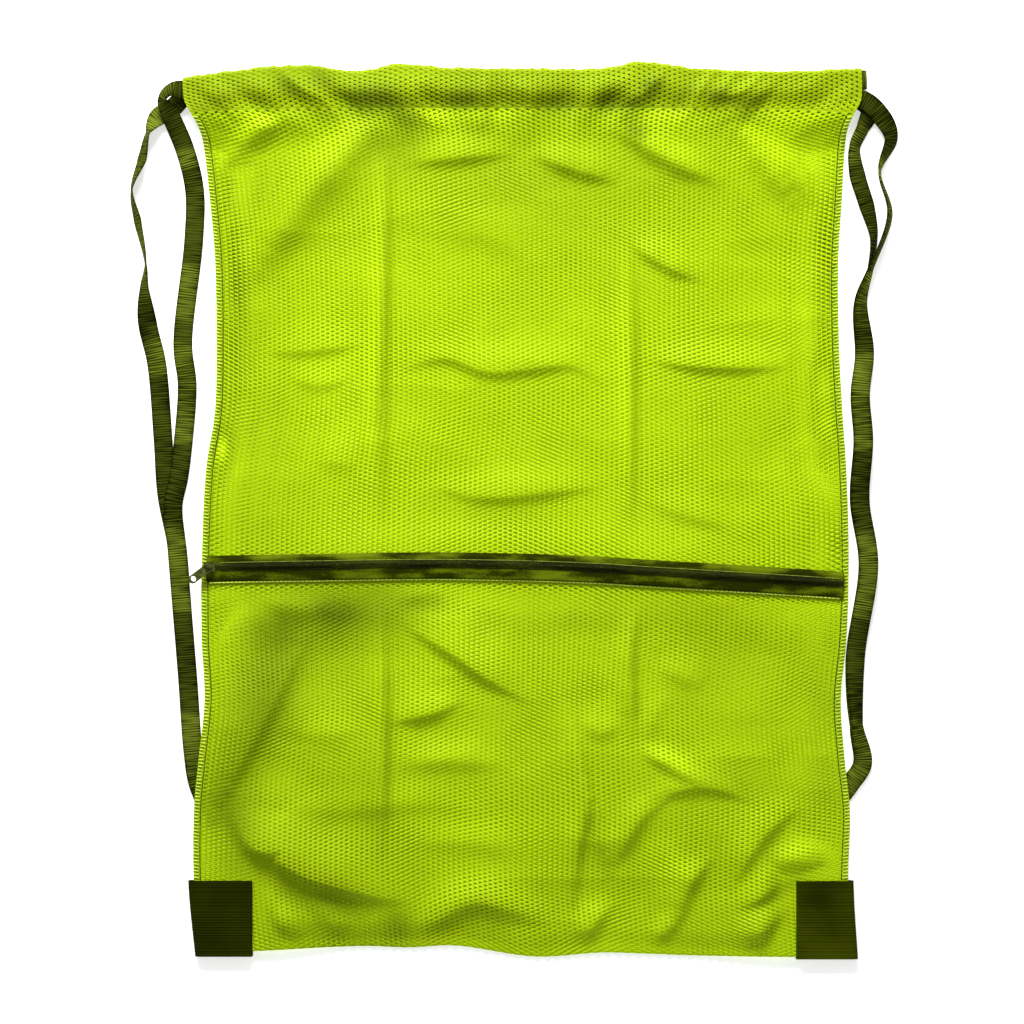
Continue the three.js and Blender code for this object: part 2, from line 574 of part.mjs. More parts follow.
// Slider: plates above and below the tapes, the post that parts them, and the crown
function sliderSolid() {
  const under = SLIDER_UNDER_PLATE;
  const bottom = extrude(
    roundedPlate(SLIDER.length, under.width, SLIDER.corner),
    under.top - under.bottom,
    under.bottom,
  );
  const top = extrude(
    roundedPlate(SLIDER.length, SLIDER.width, SLIDER.corner),
    SLIDER.plate,
    SLIDER_TOP_PLATE,
  );
  const post = new THREE.BoxGeometry(
    SLIDER_POST.length,
    SLIDER_POST.width,
    SLIDER_TOP_PLATE - under.top + 2 * WELD,
  ).translate(SLIDER_POST.x, 0, (SLIDER_TOP_PLATE + under.top) / 2);
  const half = CROWN.length / 2;
  const rise = CROWN.hole + CROWN.bar + WELD;
  const arch = new THREE.Shape();
  arch.moveTo(-half, 0);
  arch.lineTo(-half + CROWN.leg, 0);
  arch.lineTo(-half + CROWN.leg, CROWN.hole + WELD);
  arch.lineTo(half - CROWN.leg, CROWN.hole + WELD);
  arch.lineTo(half - CROWN.leg, 0);
  arch.lineTo(half, 0);
  arch.lineTo(half, rise - CROWN.leg);
  arch.lineTo(half - CROWN.leg, rise);
  arch.lineTo(-half + CROWN.leg, rise);
  arch.lineTo(-half, rise - CROWN.leg);
  const crown = extrude(arch, CROWN.thickness, -CROWN.thickness / 2)
    .rotateX(Math.PI / 2)
    .translate(0, 0, SLIDER_TOP_PLATE + SLIDER.plate - WELD);
  return joined([bottom, top, post, crown]);
}

// Pull: a flat tab with an eye round the crown at its near end and an oval hole at its tip
function pullSolid() {
  const near = -PULL.bar / 2;
  const round = PULL.half;
  const tab = new THREE.Shape();
  tab.moveTo(near, -PULL.half);
  tab.lineTo(PULL.length - round, -PULL.half);
  tab.absarc(PULL.length - round, 0, round, -Math.PI / 2, Math.PI / 2);
  tab.lineTo(near, PULL.half);
  const eye = new THREE.Path();
  eye.moveTo(PULL.bar / 2, -PULL.eyeHalf);
  eye.lineTo(PULL.bar / 2, PULL.eyeHalf);
  eye.lineTo(PULL.eye, PULL.eyeHalf);
  eye.lineTo(PULL.eye, -PULL.eyeHalf);
  const hole = new THREE.Path();
  hole.absellipse(PULL_HOLE.x, 0, PULL_HOLE.along, PULL_HOLE.across, 0, 2 * Math.PI, true);
  tab.holes.push(eye, hole);
  return extrude(tab, PULL.thickness, -PULL.thickness / 2);
}

// Patch: one piece of cloth folded round the bag's side edge at a lower corner
function patchSolid({ side, inner, top, bottom }) {
  const outer = side < 0 ? leftEdge : rightEdge;
  const rear = CLOTH / 2;
  const foldTurns = steps(5, -Math.PI / 2, Math.PI / 2);
  const section = [
    ...steps(3, 0, PATCH_FLAT_SHARE).map((share) => ({ leaf: "front", share })),
    ...foldTurns.map((turn) => ({ leaf: "fold", turn })),
    ...steps(2, PATCH_FLAT_SHARE, 0).map((share) => ({ leaf: "rear", share })),
  ];
  const surface = (i, y) => {
    const { leaf, share, turn } = section[i];
    const edge = outer(y);
    const frontAt = (x) => {
      const u = shareAt(x, y);
      return pocketHeight(u, Math.max(y, lineAt("bottom", u))) + STEP_UP;
    };
    const radius = (frontAt(edge) - rear) / 2;
    if (leaf === "fold") {
      const out = side * radius * Math.cos(turn);
      return new THREE.Vector3(edge + out, y, rear + radius * (1 - Math.sin(turn)));
    }
    const x = lerp(inner, edge, share);
    return new THREE.Vector3(x, y, leaf === "front" ? frontAt(x) : rear);
  };
  const order = section.map((_, i) => (side > 0 ? i : section.length - 1 - i));
  const columns = section.map((_, i) => i);
  return sheetSolid((i, y) => surface(order[i], y), columns, steps(4, bottom, top), CLOTH);
}

// Strap: webbing swept along its route, turned out of the flat by each row's lean
function strapRows({ frontEnd, stacked, front, tunnels, back, backEnd }) {
  const layer = (row, lift) => ({
    x: row.x - lift * Math.sin(degToRad(row.lean)),
    y: row.y,
    rise: ON_FLOOR + lift * Math.cos(degToRad(row.lean)),
    lean: row.lean,
  });
  return [
    ...frontEnd,
    ...stacked.map((row) => layer(row, WEBBING_PITCH + row.bow)),
    ...front,
    ...tunnels,
    ...back,
    ...stacked.map((row) => layer(row, 0)).reverse(),
    ...backEnd,
  ];
}

function strapSolid(route) {
  const rows = strapRows(route);
  const half = WEBBING.width / 2;
  const points = rows.map(({ x, y, rise }) => new THREE.Vector3(x, y, rise));
  const curve = new THREE.CatmullRomCurve3(points, false, "centripetal");
  const stations = [];
  for (let i = 0; i < rows.length - 1; i += 1) {
    const count = Math.max(2, Math.round(points[i].distanceTo(points[i + 1]) / WEBBING_STEP));
    for (let k = 0; k < count; k += 1) stations.push(i + k / count);
  }
  stations.push(rows.length - 1);

  const up = new THREE.Vector3(0, 0, 1);
  let side = new THREE.Vector3(1, 0, 0);
  const sections = stations.map((station) => {
    const i = Math.min(Math.floor(station), rows.length - 2);
    const share = station / (rows.length - 1);
    const tangent = curve.getTangent(share);
    const flat = new THREE.Vector3(tangent.y, -tangent.x, 0);
    if (flat.length() > WEBBING_STEEP) {
      if (flat.dot(side) < 0) flat.negate();
      side = flat.normalize();
    }
    const turn = degToRad(lerp(rows[i].lean, rows[i + 1].lean, station - i));
    const raised = up.clone().addScaledVector(tangent, -up.dot(tangent));
    const width = side.clone().multiplyScalar(Math.cos(turn));
    if (Math.abs(turn) > 0) width.addScaledVector(raised.normalize(), Math.sin(turn));
    const middle = curve.getPoint(share);
    middle.z += half * Math.abs(Math.sin(turn)) + (WEBBING.thickness / 2) * Math.cos(turn);
    return { middle, width: width.normalize() };
  });
  const surface = (across, station) => {
    const { middle, width } = sections[station];
    return middle.clone().addScaledVector(width, across * half);
  };
  return sheetSolid(surface, [-1, 1], stations.map((_, i) => i), WEBBING.thickness);
}

const bag = new THREE.Group();

function addPiece(name, geometry, material) {
  const mesh = new THREE.Mesh(geometry, new THREE.MeshStandardMaterial(MATERIALS[material]));
  mesh.name = name;
  bag.add(mesh);
  return mesh;
}

addPiece("back_panel", panelSolid(backHeight, () => CLOTH / 2, 1, BACK_COLUMNS), "net");
addPiece("front_panel", panelSolid(frontHeight, frontHemHeight, -1, COLUMNS), "net");
addPiece("pocket_panel", pocketSolid(), "net");
addPiece("zip_tape_upper", upperTapeSolid(), "tape");
addPiece("zip_tape_lower", lowerTapeSolid(), "tape");
addPiece("zip_coil", coilSolid(), "coil");
addPiece("corner_patch_left", patchSolid(PATCHES.left), "patch");
addPiece("corner_patch_right", patchSolid(PATCHES.right), "patch");
addPiece("strap_left", strapSolid(LEFT_ROUTE), "webbing");
addPiece("strap_right", strapSolid(RIGHT_ROUTE), "webbing");

const sliderShare = shareAt(SLIDER.x, lineAt("coil", 0));
const sliderSeat = zipPoint(sliderShare, 0, 0);
addPiece("zip_slider", sliderSolid(), "metal").position.copy(sliderSeat);

const pull = addPiece("zip_pull", pullSolid(), "metal");
pull.position.copy(sliderSeat);
pull.position.z += SLIDER_TOP_PLATE + SLIDER.plate + CROWN.hole / 2;
pull.rotation.z = degToRad(PULL.angle);

export default bag;
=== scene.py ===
# A net drawstring bag with a zipped front pocket, lying flat on its back.
# Sizes are millimetres until a mesh is made: +X right, +Y towards the mouth, +Z out of the front.
import math
from collections import namedtuple

import bpy
import numpy as np
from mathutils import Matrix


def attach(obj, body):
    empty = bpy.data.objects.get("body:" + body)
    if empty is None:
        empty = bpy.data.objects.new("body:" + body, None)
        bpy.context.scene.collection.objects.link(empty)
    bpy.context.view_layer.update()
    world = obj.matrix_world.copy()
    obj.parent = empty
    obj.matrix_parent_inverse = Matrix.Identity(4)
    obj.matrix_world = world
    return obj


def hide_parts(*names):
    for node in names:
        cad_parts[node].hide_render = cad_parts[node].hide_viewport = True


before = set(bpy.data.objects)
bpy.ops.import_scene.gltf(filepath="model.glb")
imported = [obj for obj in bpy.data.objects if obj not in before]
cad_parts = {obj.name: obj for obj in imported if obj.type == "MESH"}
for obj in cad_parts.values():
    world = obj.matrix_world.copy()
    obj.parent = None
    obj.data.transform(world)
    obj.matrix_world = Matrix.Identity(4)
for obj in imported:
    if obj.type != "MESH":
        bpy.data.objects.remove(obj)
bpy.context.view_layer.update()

MM = 0.001
BODY = "bag"

# Camera and light
MM_PER_PIXEL = 0.6855
PICTURE_PIXELS = 1024
PICTURE_CENTRE = (-6.9, -0.3)
FOCAL_LENGTH = 150
SENSOR = 36
CAMERA_REACH = 50000
FLOOR_SIZE = 8000
FLOOR_COLOUR = (0.93, 0.93, 0.92, 1)
FLOOR_GLOW = 0.55
WHITE = (1, 1, 1, 1)
SKY_STRENGTH = 0.4
LIGHT_PLACE = (-300, 1880, 1300)
LIGHT_SIZE = (1200, 800)
LIGHT_ENERGY = 100

# Thicknesses and clearances, as in the solids
CLOTH = 1.0
GAP = 0.3
STEP_UP = CLOTH + GAP
DOME = 13.4
DOME_SIDE = 0.28
DOME_FOOT = 130
POCKET_RISE = 2.4
MOUTH_GAP = 7.0
MOUTH_END_GAP = 0.4
HEM_BLEND = 30
ZIP_SHELF = 3.0
ZIP_SHELF_REACH = 30
SEAM_PINCH = 1.4
SEAM_PINCH_REACH = 8
SEAM_PINCH_SIDE = 0.1
HEM_BULGE = 1.6
PUCKER = 2.7
PUCKER_DEEPEST = -0.55
PUCKER_PITCH = 15
PUCKER_LENGTH = 30
PUCKER_SLANT = 1.2
PUCKER_MIDDLE = 6
PUCKER_REACH = 15
TUNNEL_HOLLOW = 4.0
TUNNEL_PINCH = 2.5
FOLD_RADIUS = (TUNNEL_HOLLOW + CLOTH) / 2
HEM_WALL = 24.0
HEM_LEAF = 21.5
HEM_END = 3.3
HEM_PARTS = np.cumsum([HEM_WALL, math.pi * FOLD_RADIUS, HEM_LEAF, HEM_END])
HEM_RAGGED = 0.7
HEM_RAGGED_PITCH = 3.4
LEAF_INSET = 4.0
BACK_HEM_TOP = TUNNEL_HOLLOW + 2 * CLOTH
CORNER_LIFT = 3.4
CORNER_REACH = (50, 110)
CORNER_HEIGHT = (-143, -95)
POCKET_TOP = -4.0
FADE_ABOVE_ZIP = (10, 34)
FADE_BELOW_ZIP = (12, 40)
FADE_AT_SEAM = 14
FADE_AT_FOOT = 18
FADE_AT_PATCH = (2, 22)
FADE_AT_SIDE = 0.03

# Flat sizes of the net's pieces
BODY_WIDTH = 440
UPPER_LENGTH = 315
LOWER_LENGTH = 262
HEM_WIDTH = 462
HEM_LENGTH = HEM_PARTS[-1]

# Net: pitch of the staggered holes, their half sizes, how far their ends dip, and how rows wander
NET_PITCH = (6.9, 2.75)
HOLE_TIP = 1.52
HOLE_SHOULDER = 0.8
HOLE_HALF = 0.63
HOLE_SIDES = 6
TIP_DIP = 0.22
HOLE_TILT = 0.36
HOLE_TILT_PATCH = 58
NET_SWAY = 3.0
NET_WAVES = (6.0, 3.6)
NET_SIDE_RISE = 6.0
NET_SIDE = 0.1
LATTICE = "lattice"
TONE = "tone"

# How far the holes of each layer are open
SIDE_HOLES = 1.15
SIDE_HOLES_REACH = (0.03, 0.1)
SEAM_HOLES = 0.84
SEAM_HOLES_REACH = (0.78, 0.96)
POCKET_HOLES = 0.9
HEM_HOLES = 0.7
HEM_FOLD = 0.49
HEM_FOLD_REACH = 0.07
HEM_FOLD_CLOSED = 0.5
INNER_HOLES = 0.04

# Brightness of each layer, as a share of the net's colour, with the painted shade and painted light on it
OUTER_TONE = 0.935
OUTER_PAINTED_SHADE_LIMITS = (-0.3, 0.65)
# Painted shade: the outer net darker towards its left side, where less light falls
LEFT_PAINTED_SHADE = 0.92
LEFT_PAINTED_SHADE_REACH = (-190, -60)
# Painted shade: the pocket darker than the panel above it, as less light falls towards the bottom
POCKET_PAINTED_SHADE = 0.93
# Painted light: the inner layers brighter than the net's own colour, to lift the shade that falls between
# the layers
INNER_PAINTED_LIGHT = 1.32
INNER_BRIGHTEST = 1.6
INNER_PAINTED_SHADE_MOST = 0.8
POCKET_INNER_PAINTED_LIGHT = 1.14
POCKET_EDGE = (-60, -30)
MOUTH_INNER_PAINTED_LIGHT = 1.25
MOUTH_EDGE = (205, 262)
# Painted shade on the tunnel's outer wall and painted light on the leaf behind it; the shade is lifted near
# the wall's foot towards the sides
HEM_PAINTED_SHADE_AND_LIGHT = (0.63, 1.25)
HEM_LEAF_START = (0.5, 0.57)
HEM_FOOT_TONE = 1.3
HEM_FOOT = 0.22
HEM_PLAIN = (75, 125)
# Painted shade inside the tunnel, on the back layer seen through the holes
HEM_BACK_PAINTED_SHADE = 0.38
SELVEDGE_TONE = 0.75
SELVEDGE = 3.0

# Uneven forms and tones: how far they go, and their length across and along the bag
Wave = namedtuple("Wave", "height across along")
WRINKLE_SWAY = Wave(10, 70, 70)
WRINKLE_BROAD = Wave(1.1, 60, 42)
WRINKLE_FINE = Wave(0.2, 19, 13)
WRINKLE_SHARP = Wave(0.9, 52, 30)
OUTER_MOTTLE = Wave(0.06, 60, 60)
INNER_MOTTLE = Wave(0.15, 45, 45)
TAPE_RIPPLE = Wave(0.15, 9, 4)
NOISE_TURNS = (127.1, 311.7, 74.7)
NOISE_SPREAD = 43758.5453
SEEDS = {
    "upper": 1, "pocket": 2, "tape": 11, "puckers": 21, "outer": 31, "inner": 32,
    "sway": 41, "tilt": 43, "sheen_bands": 51, "ragged": 61,
}

# Materials: darkest and brightest colour, then the scales and strengths of their detail
Colours = namedtuple("Colours", "dark light")
# The net's colours run from painted shade at the holes' rims to painted highlights on the knots
NET_COLOURS = Colours((0.215, 0.325, 0.0006), (0.425, 0.61, 0.0025))
TAPE_COLOURS = Colours((0.015, 0.02, 0.0003), (0.105, 0.143, 0.003))
WEBBING_COLOURS = Colours((0.012, 0.016, 0.0005), (0.13, 0.165, 0.013))
PATCH_COLOURS = Colours((0.008, 0.0105, 0.0002), (0.03, 0.039, 0.0008))
COIL_COLOURS = Colours((0.007, 0.009, 0.0004), (0.024, 0.03, 0.003))
THREAD_COLOURS = Colours((0.46, 0.6, 0.045), (0.6, 0.76, 0.09))
# Side stitching, dark as its own thread and as painted shade in the seam's groove
THREAD_AND_GROOVE_SHADE_COLOURS = Colours((0.02, 0.027, 0.0006), (0.06, 0.08, 0.003))
# The welt is real stitching along the tape above the coil; its light colour is also a painted highlight on
# the tape's folded edge
WELT_HIGHLIGHT_COLOURS = Colours((0.11, 0.14, 0.016), (0.27, 0.34, 0.05))
METAL_COLOURS = Colours((0.02, 0.026, 0.002), (0.085, 0.105, 0.018))
NET_YARN = 1400
NET_GRAIN = 0.5
NET_KNOT = 0.5
NET_LIFT = 0.32
SLANT = 3.0
SLANT_SCALE = 22
RIB_THREADS = (1.7, 0.2, 1)
RIB_UNEVEN = 1.7
RIB_WEAR = 1.1
RIB_WEAR_SCALE = 18
RIB_EDGE_POWER = 6
RIB_EDGE_SHADE = 0.25
# Painted highlights on the ribs' tops and painted shade between them
WEBBING_RIB_HIGHLIGHT = 0.14
PATCH_RIB_HIGHLIGHT = 0.025
TAPE_STREAKS = (24, 90, 1)
TAPE_YARN = 1200
TAPE_GRAIN = 0.25
TAPE_DARKER = 0.14
THREAD_YARN = 1500
COIL_GRAIN = 500
WELT_GRAIN = 300
METAL_RUBBING = 420

# Zip, as in the solids
TAPE_UPPER_EDGE = 7.4
TAPE_SHOULDER = 4.2
TAPE_LOWER_EDGE = -10.2
TAPE_MEETING = 0.3
TAPE_PARTING = 1.1
TAPE_THICKNESS = 0.7
TAPE_STEPS = (220, 13)
ZIP_ENDS = (0.008, 0.9925)
COIL_LIFT = 3.5
COIL_PITCH = 1.25
COIL_START = 3
TOOTH_PATH = [(1.9, 0.0), (1.8, 0.6), (1.2, 0.95), (0.2, 1.0), (-0.55, 0.8), (-0.6, 0.5), (0.1, 0.25)]
TOOTH_RADIUS = 0.3
TOOTH_SIDES = 5
SLIDER_X = -213.9
SLIDER_LENGTH = 8

# Corner patches
PATCH_WIDTH = 40.5
PATCH_THICKNESS = 0.8
PATCH_RIB = 1.5
PATCH_ROWS = 141
PATCH_COLUMNS = 24
PATCH_TURN_STEPS = 9
Patch = namedtuple("Patch", "side inner top bottom tone")
PATCHES = {
    "left": Patch(-1, -184.4, -252.4, -304.4, 0.8),
    "right": Patch(1, 187.4, -252.6, -306.2, 1.6),
}

# Webbing
WEBBING_WIDTH = 13
WEBBING_THICKNESS = 1.2
WEBBING_PITCH = 1.55
WEBBING_STEEP = 0.3
RIB_PITCH = 1.7
RIB_HEIGHT = 0.14
# Painted reflections and shade: darker and lighter glossy bands along the webbing
WEBBING_SHEEN_BAND = 30
WEBBING_SHEEN_BAND_EDGE = (-0.1, 0.1)
WEBBING_SHEEN_TONES = (0.45, 1.15)
# Painted highlight: the webbing lighter where it turns on edge
WEBBING_EDGE_HIGHLIGHT = 1.9
WEBBING_STEP = RIB_PITCH / 2.5
WEBBING_LEAST_STEPS = 6
WEBBING_UV_LANES = 12
ON_FLOOR = 0.3
STRAP_SECTION = [
    (-1, 0), (-0.93, 0.8), (0, 1), (0.93, 0.8), (1, 0), (0.93, -0.8), (0, -1), (-0.93, -0.8)
]

# Stitching: spacing, length and radius of each row's threads, and where the rows lie
Thread = namedtuple("Thread", "spacing length radius")
ZIP_TOPSTITCH = Thread(2.9, 2.8, 0.6)
COIL_STITCH = Thread(1.3, 1.25, 0.4)
ZIP_WELT = Thread(1.3, 1.15, 0.38)
OVERLOCK = Thread(2.3, 3.6, 0.4)
SIDE_STITCH = Thread(2.6, 2.2, 0.34)
ZIP_TOPSTITCH_ENDS = (0.012, 0.99)
ZIP_TOPSTITCH_OFFSET = -11.0
ZIP_TOPSTITCH_LIFT = 0.9
COIL_STITCH_ENDS = (0.03, 0.985)
COIL_STITCH_SEAT = (-2.8, 3.1)
ZIP_WELT_SEAT = (2.6, 3.3)
OVERLOCK_INSET = 1.9
OVERLOCK_SLANT = (0.12, -0.1)
SIDE_STITCH_INSET = 4.6
SIDE_LIFT = 0.35
SIDE_CLEAR = 2
STITCH_SIDES = 5
STITCH_RINGS = [(-0.5, 0.35), (-0.38, 1.0), (0.38, 1.0), (0.5, 0.35)]
STITCH_SAMPLES = 400
STITCH_NUDGE = 0.001

Edge = namedtuple("Edge", "y left right")
EDGES = [
    Edge(307.4, -231.7, 231.7),
    Edge(282.1, -231.0, 231.7),
    Edge(273.2, -226.9, 227.6),
    Edge(264.9, -222.1, 223.6),
    Edge(254.7, -218.7, 221.4),
    Edge(213.5, -213.9, 219.0),
    Edge(172.4, -210.4, 216.6),
    Edge(117.6, -209.4, 217.0),
    Edge(69.6, -210.4, 219.4),
    Edge(28.4, -216.6, 222.1),
    Edge(-33.2, -219.4, 223.8),
    Edge(-88.1, -219.4, 222.0),
    Edge(-129.2, -217.3, 218.0),
    Edge(-170.3, -221.4, 220.7),
    Edge(-204.6, -224.5, 224.2),
    Edge(-255.0, -224.4, 223.0),
    Edge(-307.4, -219.4, 226.0),
]

Line = namedtuple("Line", "x bottom coil seam top")
LINES = [
    Line(-231.7, -302.0, -38.0, 273.2, 297.2),
    Line(-189.9, -300.6, -37.0, 274.5, 302.7),
    Line(-148.1, -298.5, -36.3, 275.2, 305.4),
    Line(-111.1, -297.5, -35.6, 275.2, 301.3),
    Line(-83.6, -298.5, -35.3, 275.2, 306.1),
    Line(-49.4, -297.2, -35.3, 275.2, 303.3),
    Line(5.5, -304.7, -36.3, 275.2, 302.7),
    Line(53.5, -302.0, -38.0, 275.2, 302.7),
    Line(80.9, -302.6, -39.8, 275.2, 307.4),
    Line(122.0, -304.0, -42.2, 275.2, 302.7),
    Line(190.6, -304.7, -46.3, 274.5, 301.3),
    Line(231.7, -304.7, -49.0, 272.5, 304.0),
]

# Creases: height, width of the soft side and of the steep one, and the line of the ridge. The
# steep side is on the right hand along the line, and a groove has a height below zero.
Crease = namedtuple("Crease", "height soft steep line")
UPPER_CREASES = [
    Crease(3.9, 15, 5, [(-90, 94), (-70, 102), (-52, 105), (-22, 96), (5, 98), (34, 100), (63, 83)]),
    Crease(4.2, 13, 4.5, [(81, 105), (115, 100), (149, 99), (187, 100)]),
    Crease(2.6, 14, 5, [(-181, 110), (-145, 111), (-104, 116)]),
    Crease(1.8, 10, 5, [(-162, 94), (-138, 87), (-114, 94)]),
    Crease(4.4, 15, 6, [(-84, 238), (-49, 242), (-1, 246)]),
    Crease(5.5, 13, 6, [(4, 246), (33, 235), (69, 225)]),
    Crease(6.0, 10, 7, [(58, 264), (81, 251), (106, 237), (140, 223)]),
    Crease(4.2, 13, 5, [(69, 190), (84, 177), (103, 166), (128, 157)]),
    Crease(3.7, 15, 5.5, [(-66, 22), (-39, 12), (-15, 11), (26, 15), (62, 19)]),
    Crease(9.4, 15, 15, [(-196, 148), (-168, 188), (-144, 220), (-114, 251), (-89, 277)]),
    Crease(4.4, 9, 8, [(-213, 230), (-189, 252), (-155, 277)]),
    Crease(6.5, 9, 11, [(143, 268), (165, 242), (191, 205)]),
    Crease(3.4, 9, 5, [(167, 256), (185, 231), (200, 208)]),
    Crease(2.1, 12, 6, [(81, 9), (115, -2), (148, -11)]),
    Crease(1.6, 16, 9, [(-84, 192), (-15, 187), (16, 156)]),
    Crease(1.6, 12, 7, [(-141, 37), (-110, 33)]),
    Crease(5.7, 12, 5, [(-95, -33), (-96, 76), (-94, 172), (-91, 275)]),
    Crease(4.2, 11, 5, [(74, -31), (73, 49), (74, 118), (72, 207)]),
    Crease(2.3, 8, 6, [(-191, 76), (-185, 124), (-193, 179), (-199, 241)]),
    Crease(1.6, 8, 7, [(206, 124), (203, 186)]),
    Crease(-1.6, 7, 7, [(-207, 63), (-210, 32)]),
]
POCKET_CREASES = [
    Crease(6.0, 20, 5.5, [(-85, -73), (-49, -95), (-15, -118), (12, -131)]),
    Crease(4.4, 13, 5.5, [(-93, -143), (-63, -137), (-37, -126)]),
    Crease(5.2, 10, 32, [
        (-223, -240), (-219, -198), (-213, -160), (-204, -126), (-199, -92), (-189, -51)
    ]),
    Crease(5.9, 16, 7, [(-217, -216), (-196, -177), (-178, -144), (-160, -109), (-141, -72)]),
    Crease(9.1, 30, 7, [
        (-193, -179), (-195, -206), (-185, -227), (-166, -238),
        (-145, -250), (-125, -256), (-97, -263), (-70, -266),
    ]),
    Crease(6.5, 15, 9, [(-75, -296), (-53, -275), (-33, -266), (-10, -270), (23, -281)]),
    Crease(3.4, 9, 6, [(-191, -253), (-170, -275), (-148, -301)]),
    Crease(2.6, 9, 7, [(-152, -261), (-130, -279), (-117, -301)]),
    Crease(4.0, 13, 5, [(88, -202), (103, -191), (122, -187), (140, -190), (160, -199)]),
    Crease(4.0, 12, 6, [(58, -248), (69, -227), (81, -208), (100, -194)]),
    Crease(3.4, 9, 5, [(76, -160), (92, -168), (110, -178), (130, -187)]),
    Crease(3.0, 8, 5, [(92, -300), (99, -286), (108, -274)]),
    Crease(1.9, 9, 6, [(40, -137), (53, -150), (69, -140)]),
    Crease(5.0, 13, 6, [(104, -290), (112, -258), (130, -232)]),
    Crease(5.2, 15, 6, [(141, -261), (156, -232), (171, -214), (193, -198)]),
    Crease(8.0, 17, 6, [(142, -271), (162, -263), (178, -251), (196, -241), (216, -237)]),
    Crease(6.5, 13, 6, [(146, -306), (164, -286), (191, -262)]),
    Crease(4.2, 11, 6, [(38, -301), (47, -284), (62, -265)]),
    Crease(3.1, 12, 8, [(-189, -52), (-152, -65), (-118, -63)]),
    Crease(2.9, 8, 6, [(-86, -61), (-63, -52), (-41, -50)]),
    Crease(2.3, 9, 6, [(122, -54), (148, -63)]),
    Crease(2.1, 12, 7, [(92, -103), (125, -120)]),
    Crease(2.6, 12, 8, [(-92, -174), (-49, -169), (-1, -173)]),
    Crease(1.7, 12, 8, [(-182, -195), (-125, -202), (-70, -198), (-15, -205)]),
    Crease(1.4, 12, 8, [(-89, -227), (-49, -224), (5, -231)]),
    Crease(2.1, 12, 8, [(-173, -146), (-132, -151), (-103, -146)]),
    Crease(4.7, 9, 5, [(32, -294), (37, -232), (43, -195), (36, -158), (23, -116)]),
    Crease(4.2, 8, 5, [(62, -253), (53, -216), (45, -177)]),
    Crease(4.4, 9, 5, [(77, -160), (73, -102), (78, -59)]),
    Crease(5.2, 11, 5.5, [(-97, -253), (-95, -143), (-96, -47)]),
    Crease(1.6, 7, 6, [(84, -158), (96, -122)]),
]


def painted_shade(depth, width, line):
    """A line of painted shade along which a layer of net is darker where less light falls, or of painted
    light where the depth is below zero.
    """
    return Crease(depth, width, width, line)
